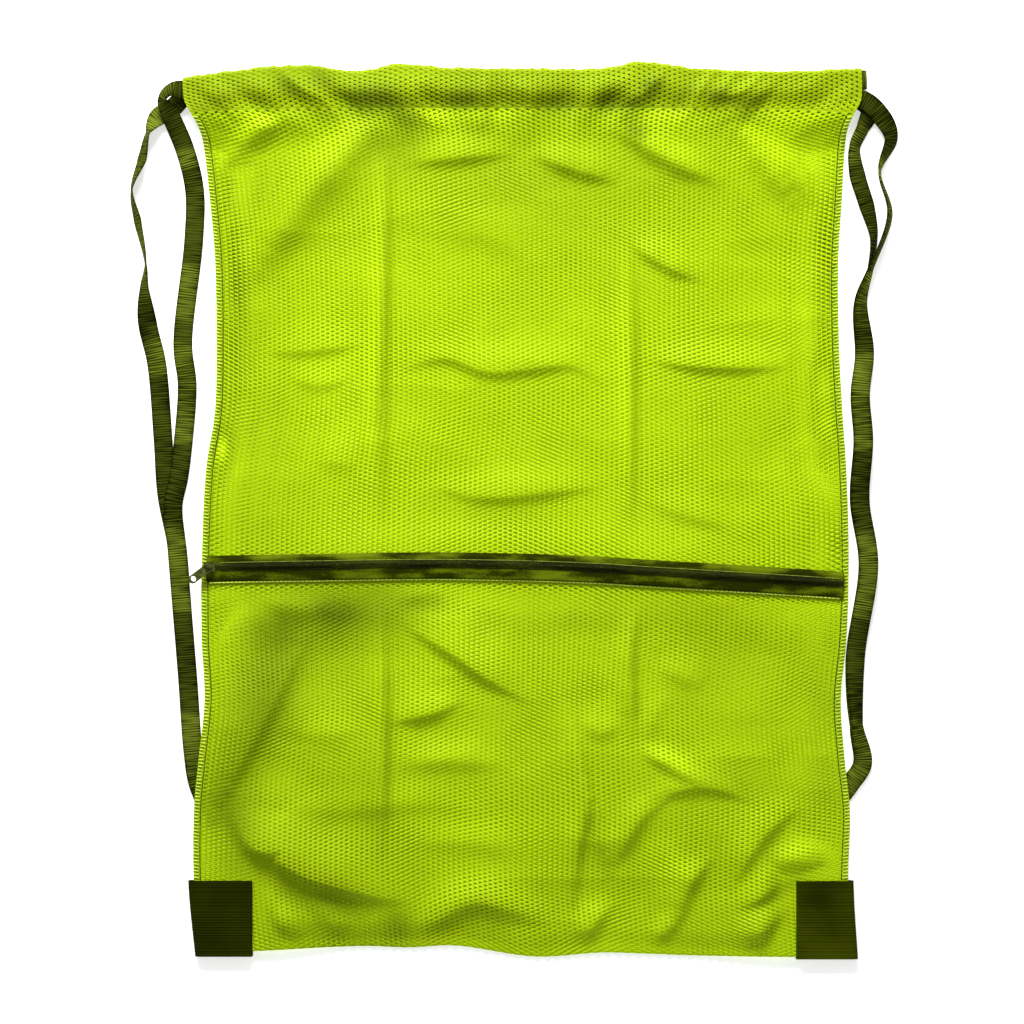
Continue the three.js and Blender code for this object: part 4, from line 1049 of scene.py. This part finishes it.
def bumped(material, shader, height, strength, distance):
    bump = add_node(material, "ShaderNodeBump", Strength=strength, Distance=distance)
    link(material, height, bump.inputs["Height"])
    link(material, bump.outputs["Normal"], shader.inputs["Normal"])


def toned(material, shader):
    """Scales the base colour by the mesh's own tone, which holds painted shade and painted light as well as
    its own colour.
    """
    tint = material.node_tree.nodes.new("ShaderNodeVectorMath")
    tint.operation = "SCALE"
    tone = material.node_tree.nodes.new("ShaderNodeAttribute")
    tone.attribute_name = TONE
    link(material, shader.inputs["Base Color"].links[0].from_socket, tint.inputs["Vector"])
    link(material, tone.outputs["Fac"], tint.inputs["Scale"])
    link(material, tint.outputs["Vector"], shader.inputs["Base Color"])


def grained_material(name, colours, roughness, grain):
    """Thread or nylon with its grain in colour and bump."""
    material, shader = new_material(name, roughness, Specular_IOR_Level=0.1)
    yarn = noise_node(material, grain, detail=3.0)
    shaded_colour(material, shader, yarn, colours)
    bumped(material, shader, yarn, strength=0.4, distance=0.0002)
    return material


def knitted_material(name, colours):
    """Net yarn: thick knots between the holes and thin strands at their rims, with painted highlights on the
    knots and painted shade at the rims.
    """
    material, shader = new_material(name, roughness=0.6, Specular_IOR_Level=0.06)
    axes = lattice_axes(material)[1:]
    turns = [math_node(material, "MULTIPLY", axis, math.pi) for axis in axes]
    hole = math_node(material, "MULTIPLY", *(math_node(material, "COSINE", turn) for turn in turns))
    slant = math_node(material, "MULTIPLY", *(math_node(material, "SINE", turn) for turn in turns))
    drift = swing(material, noise_node(material, SLANT_SCALE, detail=1.0), SLANT)
    knot = math_node(material, "MULTIPLY_ADD", hole, -NET_KNOT, NET_KNOT)
    knot = math_node(material, "ADD", knot, math_node(material, "MULTIPLY", slant, drift))
    grain = math_node(material, "MULTIPLY", noise_node(material, NET_YARN, detail=3.0), NET_GRAIN)
    height = math_node(material, "ADD", knot, grain)
    # Painted highlights on the knots and painted shade at the rims, from the same height as the bump
    shaded_colour(material, shader, math_node(material, "ADD", height, NET_LIFT), colours)
    toned(material, shader)
    bumped(material, shader, height, strength=0.5, distance=0.0006)
    return material


def ribbed_material(name, colours, rib_highlight):
    """Woven ribs with painted highlights on their tops and painted shade between them, of uneven brightness
    across a strip, worn in patches and darker along the edges.
    """
    material, shader = new_material(name, roughness=0.55, Specular_IOR_Level=0.002)
    weave, along, across = lattice_axes(material)
    turn = math_node(material, "MULTIPLY", along, 2 * math.pi)
    # Painted highlights on the ribs' tops and painted shade between them
    rib = math_node(material, "MULTIPLY_ADD", math_node(material, "COSINE", turn), rib_highlight, 0.5)
    uneven = swing(material, stretched_noise(material, weave, RIB_THREADS, detail=2.0), RIB_UNEVEN)
    worn = swing(material, noise_node(material, RIB_WEAR_SCALE, detail=3.0), RIB_WEAR)
    edge = math_node(material, "POWER", math_node(material, "ABSOLUTE", across), RIB_EDGE_POWER)
    edge = math_node(material, "MULTIPLY", edge, RIB_EDGE_SHADE)
    cloth = math_node(material, "ADD", math_node(material, "ADD", uneven, rib), worn)
    cloth = math_node(material, "SUBTRACT", cloth, edge)
    shaded_colour(material, shader, cloth, colours, spread=(0.3, 0.8))
    toned(material, shader)
    bumped(material, shader, cloth, strength=0.4, distance=0.0004)
    return material


def mottled_material(name, colours):
    """Twill tape with worn pale stretches."""
    material, shader = new_material(name, roughness=0.6, Specular_IOR_Level=0.005)
    place = add_node(material, "ShaderNodeTexCoord").outputs["Object"]
    worn = stretched_noise(material, place, TAPE_STREAKS, detail=3.0)
    yarn = noise_node(material, TAPE_YARN, detail=2.0)
    grain = math_node(material, "MULTIPLY", yarn, TAPE_GRAIN)
    cloth = math_node(material, "SUBTRACT", math_node(material, "ADD", worn, grain), TAPE_DARKER)
    shaded_colour(material, shader, cloth, colours, spread=(0.42, 0.6))
    bumped(material, shader, yarn, strength=0.3, distance=0.0002)
    return material


def metal_material(name, colours):
    """Painted metal, rubbed in places."""
    material, shader = new_material(name, roughness=0.4, Specular_IOR_Level=0.2)
    rubbed = noise_node(material, METAL_RUBBING, detail=4.0)
    shaded_colour(material, shader, rubbed, colours)
    bumped(material, shader, rubbed, strength=0.2, distance=0.0001)
    return material


net_material = knitted_material("net", NET_COLOURS)
tape_material = mottled_material("zip_tape", TAPE_COLOURS)
webbing_material = ribbed_material("webbing", WEBBING_COLOURS, WEBBING_RIB_HIGHLIGHT)
patch_material = ribbed_material("patch", PATCH_COLOURS, PATCH_RIB_HIGHLIGHT)
coil_material = grained_material("zip_coil", COIL_COLOURS, roughness=0.5, grain=COIL_GRAIN)
thread_material = grained_material("thread", THREAD_COLOURS, roughness=0.6, grain=THREAD_YARN)
thread_and_groove_shade_material = grained_material("dark_thread", THREAD_AND_GROOVE_SHADE_COLOURS, roughness=0.6, grain=THREAD_YARN)
welt_highlight_material = grained_material("welt", WELT_HIGHLIGHT_COLOURS, roughness=0.5, grain=WELT_GRAIN)
zip_metal_material = metal_material("zip_metal", METAL_COLOURS)


# Straps come first, then the cloth
def strap_rows(route):
    """All rows of a strap in order, with the stacked ones once for each run."""

    def layer(row, lift):
        turn = math.radians(row.lean)
        shift = -lift * math.sin(turn)
        return Row(row.x + shift, row.y, ON_FLOOR + lift * math.cos(turn), row.lean)

    return [
        *route["front_end"],
        *(layer(row, WEBBING_PITCH + row.rise) for row in route["stacked"]),
        *route["front"],
        *route["tunnels"],
        *route["back"],
        *(layer(row, 0) for row in reversed(route["stacked"])),
        *route["back_end"],
    ]


def strap_line(route, step):
    """Middle, direction, width direction, distance and lean along the webbing at even steps."""
    rows = strap_rows(route)
    points = np.array([(row.x, row.y, row.rise) for row in rows])
    middles, tangents, leans = [], [], []
    for i in range(len(rows) - 1):
        count = max(WEBBING_LEAST_STEPS, round(np.linalg.norm(points[i + 1] - points[i]) / step))
        shares = np.arange(count + (i == len(rows) - 2)) / count
        place, tangent = spline_segment(points, i, shares)
        middles.append(place)
        tangents.append(tangent)
        leans.append(np.radians(mix(rows[i].lean, rows[i + 1].lean, shares)))
    middle = np.concatenate(middles)
    tangent = np.concatenate(tangents)
    tangent /= np.linalg.norm(tangent, axis=1, keepdims=True)
    lean = np.concatenate(leans)
    side = np.array([1.0, 0.0, 0.0])
    widths = []
    for along, turn in zip(tangent, lean):
        flat = np.array([along[1], -along[0], 0])
        if np.linalg.norm(flat) > WEBBING_STEEP:
            side = flat / np.linalg.norm(flat) * (-1 if flat @ side < 0 else 1)
        raised = np.array([0, 0, 1]) - along * along[2]
        raised /= max(np.linalg.norm(raised), WEBBING_STEEP)
        width = side * math.cos(turn) + raised * math.sin(turn)
        widths.append(width / np.linalg.norm(width))
    half = WEBBING_WIDTH / 2
    middle[:, 2] += half * np.abs(np.sin(lean)) + WEBBING_THICKNESS / 2 * np.cos(lean)
    gone = np.concatenate([[0], np.cumsum(np.linalg.norm(np.diff(middle, axis=0), axis=1))])
    return middle, tangent, np.array(widths), gone, lean


def strap_piece(name, route, node):
    """Flat ribbed webbing along a route."""
    middle, tangent, width, gone, lean = strap_line(route, WEBBING_STEP)
    normal = np.cross(tangent, width)
    normal /= np.linalg.norm(normal, axis=1, keepdims=True)
    normal *= np.where(normal[:, 2:] < 0, -1, 1)
    rib = 1 + RIB_HEIGHT * np.cos(2 * math.pi * gone / RIB_PITCH)
    rings = []
    for across, up in STRAP_SECTION:
        offset = width * (across * WEBBING_WIDTH / 2)
        offset = offset + normal * (up * WEBBING_THICKNESS / 2 * rib)[:, None]
        rings.append(middle + offset)
    ring = np.stack(rings, axis=1)
    count, sides = ring.shape[:2]
    number = np.arange(count * sides).reshape(count, sides)
    ahead = np.roll(number, -1, axis=1)
    quads = np.stack([number[:-1], ahead[:-1], ahead[1:], number[1:]], axis=2).reshape(-1, 4)
    faces = quads.tolist() + [number[0, ::-1].tolist(), number[-1].tolist()]
    lane = gone / gone[-1] * WEBBING_UV_LANES
    in_lane = np.repeat(np.floor(lane), sides) + np.tile(np.linspace(0, 1, sides), count)
    uv = np.stack([np.repeat(lane % 1, sides), in_lane / WEBBING_UV_LANES], axis=1)
    across_share = np.array([across for across, up in STRAP_SECTION])
    weave = np.stack([np.repeat(gone / RIB_PITCH, sides), np.tile(across_share, count)], axis=1)
    # Painted reflections and shade in bands along the strap
    sheen_bands = smooth(noise(gone / WEBBING_SHEEN_BAND, gone * 0, SEEDS["sheen_bands"]), *WEBBING_SHEEN_BAND_EDGE)
    # Painted highlight where the strap turns on edge
    tone = np.repeat(mix(*WEBBING_SHEEN_TONES, sheen_bands) * mix(1, WEBBING_EDGE_HIGHLIGHT, np.sin(lean) ** 2), sides)
    points = ring.reshape(-1, 3)
    piece = new_object(name, points, faces, uv, webbing_material, weave, tone)
    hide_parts(node)


strap_piece("webbing_left", LEFT_ROUTE, "strap_left")
strap_piece("webbing_right", RIGHT_ROUTE, "strap_right")


# Net panels
def side_openness(u):
    return mix(SIDE_HOLES, 1, smooth(side_distance(u), *SIDE_HOLES_REACH))


def outer_openness(u, v):
    """Wider holes at the sides, and smaller ones below the tunnel's seam."""
    return side_openness(u) * mix(1, SEAM_HOLES, smooth(v, *SEAM_HOLES_REACH))


def pocket_openness(u, v):
    return POCKET_HOLES * side_openness(u)


def hem_openness(u, v):
    """Smaller holes in the tunnel, and the smallest round its top fold."""
    return HEM_HOLES * (1 - HEM_FOLD_CLOSED * np.exp(-(((v - HEM_FOLD) / HEM_FOLD_REACH) ** 2)))


def inner_openness(u, v):
    return np.full(np.shape(u), INNER_HOLES)


def outer_tone(x, y, v):
    # Painted shade along lines, and painted light where their depth is below zero
    painted_shades = 1 - np.clip(creases_at(OUTER_PAINTED_SHADES, x, y), *OUTER_PAINTED_SHADE_LIMITS)
    # Painted shade towards the left side
    left = mix(LEFT_PAINTED_SHADE, 1, smooth(x, *LEFT_PAINTED_SHADE_REACH))
    return OUTER_TONE * painted_shades * left * (1 + wave_at(OUTER_MOTTLE, x, y, SEEDS["outer"]))


def pocket_tone(x, y, v):
    # Painted shade: the pocket darker than the panel above it
    return POCKET_PAINTED_SHADE * outer_tone(x, y, v)


def inner_tone(x, y, v):
    """Painted light: brighter than the net's own colour to lift the shade between the layers, and more so
    under the pocket and in the mouth, where less light falls.
    """
    tone = INNER_PAINTED_LIGHT + wave_at(INNER_MOTTLE, x, y, SEEDS["inner"])
    tone *= mix(POCKET_INNER_PAINTED_LIGHT, 1, smooth(y, *POCKET_EDGE))
    tone *= mix(1, MOUTH_INNER_PAINTED_LIGHT, smooth(y, *MOUTH_EDGE))
    # Painted shade along lines
    painted_shades = 1 - np.clip(creases_at(INNER_PAINTED_SHADES, x, y), 0, INNER_PAINTED_SHADE_MOST)
    return np.minimum(tone, INNER_BRIGHTEST) * painted_shades


def hem_tone(x, y, v):
    """Painted shade on the outer wall, darker than the panels and lifted near its foot towards the sides,
    and painted light on the leaf behind it.
    """
    plain = smooth(np.abs(x), *HEM_PLAIN) * (1 - smooth(v, 0, HEM_FOOT))
    walls = mix(*HEM_PAINTED_SHADE_AND_LIGHT, smooth(v, *HEM_LEAF_START))
    return outer_tone(x, y, v) * walls * mix(1, HEM_FOOT_TONE, plain)


def hem_back_tone(x, y, v):
    # Painted shade inside the tunnel
    return HEM_BACK_PAINTED_SHADE * inner_tone(x, y, v)


def net_sway(u, v):
    """How far the rows of the net wander up or down, and rise towards the sides."""
    drift = NET_SWAY * noise(NET_WAVES[0] * u, NET_WAVES[1] * v, SEEDS["sway"])
    rise = NET_SIDE_RISE * (1 - smooth(side_distance(u), 0, NET_SIDE))
    return (drift + rise) * smooth(side_distance(v), 0, NET_SIDE)


def body_surface(low, high, height):
    """Surface between two of the bag's lines, from shares across and up."""

    def surface(u, v):
        y = mix(low(u), high(u), v) + net_sway(u, v)
        return np.stack([across_at(u, y), y, height(u, y)], axis=1)

    return surface


def pocket_edge(u):
    return line_at("coil", u) + POCKET_TOP


def bottom_line(u):
    return line_at("bottom", u)


def seam_line(u):
    return line_at("seam", u)


def hem_surface(outer_height, inwards):
    """Tunnel: up the outer wall, round the top fold and down the inner leaf to the seam."""
    shares = HEM_PARTS / HEM_PARTS[-1]
    starts = [0, *shares]

    def surface(u, v):
        seam = line_at("seam", u)
        shoulder = line_at("top", u) - CLOTH / 2 - FOLD_RADIUS
        wall, fold, leaf, end = (np.clip((v - a) / (b - a), 0, 1) for a, b in zip(starts, shares))
        turn = fold * math.pi
        ragged = HEM_RAGGED * noise(u * HEM_WIDTH / HEM_RAGGED_PITCH, v * 0, SEEDS["ragged"])
        y = mix(seam, shoulder, wall) + (FOLD_RADIUS + ragged) * np.sin(turn)
        y = np.where(leaf > 0, mix(shoulder, seam + TUNNEL_PINCH, leaf), y)
        y = np.where(end > 0, mix(seam + TUNNEL_PINCH, seam + GAP, end), y)
        depth = FOLD_RADIUS * (1 - np.cos(turn))
        depth = np.where(end > 0, mix(2 * FOLD_RADIUS, STEP_UP + GAP, end), depth)
        bulge = HEM_BULGE * np.sin(math.pi * wall) ** 2 * smooth(side_distance(u), 0, SEAM_PINCH_SIDE)
        relief = puckers(u, y) - seam_pinch(u, y) + bulge
        relief = np.where((inwards < 0) & ((leaf <= 0) | (end > 0)), relief, 0)
        inset = LEAF_INSET * (1 - u) * smooth(depth, FOLD_RADIUS, 2 * FOLD_RADIUS)
        z = outer_height(u) + inwards * depth + relief
        return np.stack([across_at(u, y) + inset, y, z], axis=1)

    return surface


def net_piece(name, width, length, surface, node, layer):
    points, faces, uv, lattice = net_mesh(width, length, surface, layer.openness, layer.tightness)
    tone = layer.tone(points[:, 0], points[:, 1], uv[:, 1])
    tone *= mix(SELVEDGE_TONE, 1, smooth(side_distance(uv[:, 1]) * length, 0, SELVEDGE))
    piece = new_object(name, points, faces, uv, net_material, lattice, tone)
    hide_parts(node)


Layer = namedtuple("Layer", "openness tightness yarn_share tone")
OUTER = Layer(outer_openness, 1.0, 0.66, outer_tone)
POCKET = Layer(pocket_openness, 1.0, 0.72, pocket_tone)
HEM = Layer(hem_openness, 1.0, 0.8, hem_tone)
INNER = Layer(inner_openness, 1.03, 0.98, inner_tone)
HEM_BACK = Layer(inner_openness, 1.03, 0.98, hem_back_tone)

net_piece(
    "net_back_lower", BODY_WIDTH, LOWER_LENGTH,
    body_surface(bottom_line, pocket_edge, back_height), "back_panel", INNER,
)
net_piece(
    "net_back_upper", BODY_WIDTH, UPPER_LENGTH,
    body_surface(pocket_edge, seam_line, back_height), "back_panel", INNER,
)
net_piece(
    "net_back_hem", HEM_WIDTH, HEM_LENGTH,
    hem_surface(lambda u: np.full(np.shape(u), CLOTH / 2), 1), "back_panel", HEM_BACK,
)
net_piece(
    "net_front_lower", BODY_WIDTH, LOWER_LENGTH,
    body_surface(bottom_line, pocket_edge, front_base), "front_panel", INNER,
)
net_piece(
    "net_front_upper", BODY_WIDTH, UPPER_LENGTH,
    body_surface(pocket_edge, seam_line, front_height), "front_panel", OUTER,
)
net_piece(
    "net_front_hem", HEM_WIDTH, HEM_LENGTH,
    hem_surface(front_hem_height, -1), "front_panel", HEM,
)
net_piece(
    "net_pocket", BODY_WIDTH, LOWER_LENGTH,
    body_surface(bottom_line, pocket_edge, pocket_height), "pocket_panel", POCKET,
)


# Zip
def zip_point(u, offset, lift):
    coil = line_at("coil", u)
    y = coil + offset
    return np.stack([across_at(u, y), y, front_base(u, coil) + lift], axis=-1)


def tapes_part(u):
    return 1 - smooth(across_at(u, line_at("coil", u)), SLIDER_X, SLIDER_X + SLIDER_LENGTH)


def tape_piece(name, inner, outer, node, drops):
    steps_along, steps_across = TAPE_STEPS
    u, v = np.meshgrid(np.linspace(*ZIP_ENDS, steps_along), np.linspace(0, 1, steps_across))
    meeting = inner + math.copysign(TAPE_PARTING, inner) * tapes_part(u)
    offset = mix(meeting, outer, v)
    lift = 2 * STEP_UP - drops * smooth(offset, TAPE_SHOULDER, TAPE_UPPER_EDGE)
    grid = zip_point(u, offset, lift)
    grid[:, :, 2] += wave_at(TAPE_RIPPLE, grid[:, :, 0], grid[:, :, 1], SEEDS["tape"])
    if outer < inner:
        grid = grid[::-1]
    points, faces, uv = sheet_mesh(grid, TAPE_THICKNESS)
    piece = new_object(name, points, faces, uv, tape_material)
    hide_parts(node)


tape_piece("tape_upper", TAPE_MEETING, TAPE_UPPER_EDGE, "zip_tape_upper", STEP_UP)
tape_piece("tape_lower", -TAPE_MEETING, TAPE_LOWER_EDGE, "zip_tape_lower", 0)


def coil_piece():
    """Teeth of the closed coil, turned to one side and the other in turn."""
    start = share_at(SLIDER_X + COIL_START, line_at("coil", 0.0))
    length = (ZIP_ENDS[1] - start) * BODY_WIDTH
    shares = np.linspace(start, ZIP_ENDS[1], round(length / COIL_PITCH * 2))
    path = np.array(TOOTH_PATH)
    ahead = np.gradient(path, axis=0)
    out = np.stack([-ahead[:, 1], ahead[:, 0]], axis=1)
    out /= np.linalg.norm(out, axis=1, keepdims=True)
    turns = np.arange(TOOTH_SIDES) / TOOTH_SIDES * 2 * math.pi
    ring_out = np.cos(turns) * TOOTH_RADIUS
    ring_along = np.sin(turns) * TOOTH_RADIUS
    local = path[:, None, :] + out[:, None, :] * ring_out[None, :, None]
    along = np.broadcast_to(ring_along, local.shape[:2])
    seats = zip_point(shares, 0, COIL_LIFT)
    sign = np.where(np.arange(len(shares)) % 2 == 0, 1, -1)[:, None, None]
    points = np.stack(
        [
            seats[:, 0, None, None] + along[None],
            seats[:, 1, None, None] + sign * local[None, :, :, 0],
            seats[:, 2, None, None] + local[None, :, :, 1],
        ],
        axis=-1,
    )
    steps, sides = local.shape[:2]
    quads = tube_faces(points.shape[:3])[1]
    quads[1::2] = quads[1::2, :, :, ::-1]
    faces = quads.reshape(-1, 4).tolist()
    around = np.linspace(0, 1, steps * sides)
    uv = np.stack([np.repeat(shares, steps * sides), np.tile(around, len(shares))], axis=1)
    piece = new_object("coil_teeth", points.reshape(-1, 3), faces, uv, coil_material)
    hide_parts("zip_coil")


coil_piece()

for node in ("zip_slider", "zip_pull"):
    for holder in bpy.data.objects[node].material_slots:
        holder.material = zip_metal_material


# Corner patches
def patch_piece(name, patch, node):
    """A patch over the pocket, round the side and under the back."""
    outer = left_edge if patch.side < 0 else right_edge
    ys = np.linspace(patch.bottom, patch.top, PATCH_ROWS)
    rear = CLOTH / 2
    edge = outer(ys)

    def front_at(x):
        u = share_at(x, ys)
        return pocket_height(u, np.maximum(ys, line_at("bottom", u))) + STEP_UP

    radius = (front_at(edge) - rear) / 2
    columns = []
    for share in np.linspace(0, 1, PATCH_COLUMNS)[:-1]:
        x = mix(patch.inner, edge, share)
        columns.append(np.stack([x, ys, front_at(x)], axis=1))
    for turn in np.linspace(-math.pi / 2, math.pi / 2, PATCH_TURN_STEPS):
        x = edge + patch.side * radius * math.cos(turn)
        columns.append(np.stack([x, ys, rear + radius * (1 - math.sin(turn))], axis=1))
    for share in np.linspace(1, 0, PATCH_COLUMNS)[1:]:
        x = mix(patch.inner, edge, share)
        columns.append(np.stack([x, ys, np.full(len(ys), rear)], axis=1))
    grid = np.stack(columns, axis=1)
    if patch.side < 0:
        grid = grid[:, ::-1]
    points, faces, uv = sheet_mesh(grid, PATCH_THICKNESS)
    weave = np.stack([points[:, 1] / PATCH_RIB, np.zeros(len(points))], axis=1)
    tone = np.full(len(points), patch.tone)
    piece = new_object(name, points, faces, uv, patch_material, weave, tone)
    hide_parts(node)


for side_name, patch in PATCHES.items():
    patch_piece(f"patch_{side_name}", patch, f"corner_patch_{side_name}")


# Stitching: rows of short threads
def stitch_piece(name, middles, directions, thread, material):
    """Short threads with rounded ends, one at each of the given places."""
    ahead = directions / np.linalg.norm(directions, axis=1, keepdims=True)
    side = np.cross(ahead, [0.0, 0.0, 1.0])
    side /= np.linalg.norm(side, axis=1, keepdims=True)
    up = np.cross(side, ahead)
    turns = np.arange(STITCH_SIDES) / STITCH_SIDES * 2 * math.pi
    out = side[:, None] * np.cos(turns)[:, None] + up[:, None] * np.sin(turns)[:, None]
    rings = []
    for along, girth in STITCH_RINGS:
        rings.append((middles + ahead * along * thread.length)[:, None] + out * thread.radius * girth)
    points = np.stack(rings, axis=1)
    count, steps, sides = points.shape[:3]
    number, quads = tube_faces((count, steps, sides))
    faces = quads.reshape(-1, 4).tolist()
    faces += number[:, 0].tolist() + number[:, -1, ::-1].tolist()
    share = np.repeat(np.arange(count) / count, steps * sides)
    uv = np.stack([share, np.tile(np.linspace(0, 1, steps * sides), count)], axis=1)
    new_object(name, points.reshape(-1, 3), faces, uv, material)


def stitch_line(name, surface, ends, thread, material):
    """Threads end to end along a line given by a share."""
    samples = np.linspace(*ends, STITCH_SAMPLES)
    steps = np.linalg.norm(np.diff(surface(samples), axis=0), axis=1)
    gone = np.concatenate([[0], np.cumsum(steps)])
    shares = np.interp(np.arange(thread.spacing / 2, gone[-1], thread.spacing), gone, samples)
    directions = surface(shares + STITCH_NUDGE) - surface(shares - STITCH_NUDGE)
    stitch_piece(name, surface(shares), directions, thread, material)


def on_pocket(u):
    """The topstitching's line, which lies on the pocket's net below the zip."""
    y = line_at("coil", u) + ZIP_TOPSTITCH_OFFSET
    return np.stack([across_at(u, y), y, pocket_height(u, y) + ZIP_TOPSTITCH_LIFT], axis=1)


def on_zip(offset, lift):
    return lambda u: zip_point(u, offset, lift)


stitch_line("zip_topstitch", on_pocket, ZIP_TOPSTITCH_ENDS, ZIP_TOPSTITCH, thread_material)
stitch_line(
    "coil_stitch", on_zip(*COIL_STITCH_SEAT), COIL_STITCH_ENDS, COIL_STITCH, coil_material
)
# Light threads along the tape's fold: real stitching, and a painted highlight on that fold
stitch_line("zip_welt", on_zip(*ZIP_WELT_SEAT), COIL_STITCH_ENDS, ZIP_WELT, welt_highlight_material)


def side_height(u, y):
    return np.where(y < pocket_edge(u), pocket_height(u, y), front_height(u, y))


def side_rows(patch, inset, spacing):
    """Points up one side of the bag from its patch, some way in from the edge."""
    ys = np.arange(patch.top + SIDE_CLEAR, line_at("seam", 0.0) - SIDE_CLEAR, spacing)
    edge = left_edge(ys) if patch.side < 0 else right_edge(ys)
    x = edge - patch.side * inset
    return np.stack([x, ys, side_height(share_at(x, ys), ys) + SIDE_LIFT], axis=1)


for side_name, patch in PATCHES.items():
    rungs = side_rows(patch, OVERLOCK_INSET, OVERLOCK.spacing)
    across = np.tile([patch.side, *OVERLOCK_SLANT], (len(rungs), 1))
    stitch_piece(f"overlock_{side_name}", rungs, across, OVERLOCK, thread_material)
    # The needle line: real stitching, darkened as painted shade in the seam's groove
    needle = side_rows(patch, SIDE_STITCH_INSET, SIDE_STITCH.spacing)
    along = np.gradient(needle, axis=0)
    stitch_piece(f"side_stitch_{side_name}", needle, along, SIDE_STITCH, thread_and_groove_shade_material)


# Floor, light and camera
def floor():
    bpy.ops.mesh.primitive_plane_add(size=FLOOR_SIZE * MM, location=(0, 0, 0))
    plane = bpy.context.object
    plane.name = "floor"
    looks = {"Base_Color": FLOOR_COLOUR, "Emission_Color": WHITE, "Emission_Strength": FLOOR_GLOW}
    material, _ = new_material("floor", roughness=0.9, **looks)
    plane.data.materials.append(material)


def key_light():
    data = bpy.data.lights.new("key", "AREA")
    data.shape = "RECTANGLE"
    data.size, data.size_y = (side * MM for side in LIGHT_SIZE)
    data.energy = LIGHT_ENERGY
    lamp = bpy.data.objects.new("key", data)
    lamp.location = [place * MM for place in LIGHT_PLACE]
    lamp.rotation_euler = (-lamp.location).to_track_quat("-Z", "Y").to_euler()
    bpy.context.scene.collection.objects.link(lamp)


def sky():
    world = bpy.data.worlds.new("studio")
    world.use_nodes = True
    background = world.node_tree.nodes["Background"]
    background.inputs["Color"].default_value = WHITE
    background.inputs["Strength"].default_value = SKY_STRENGTH
    bpy.context.scene.world = world


def camera():
    data = bpy.data.cameras.new("camera")
    data.lens = FOCAL_LENGTH
    data.sensor_width = SENSOR
    data.clip_end = CAMERA_REACH * MM
    distance = PICTURE_PIXELS * MM_PER_PIXEL * FOCAL_LENGTH / SENSOR
    view = bpy.data.objects.new("camera", data)
    view.location = [place * MM for place in (*PICTURE_CENTRE, distance)]
    bpy.context.scene.collection.objects.link(view)
    bpy.context.scene.camera = view


floor()
camera()
key_light()
sky()
bpy.context.scene.view_settings.view_transform = "Standard"
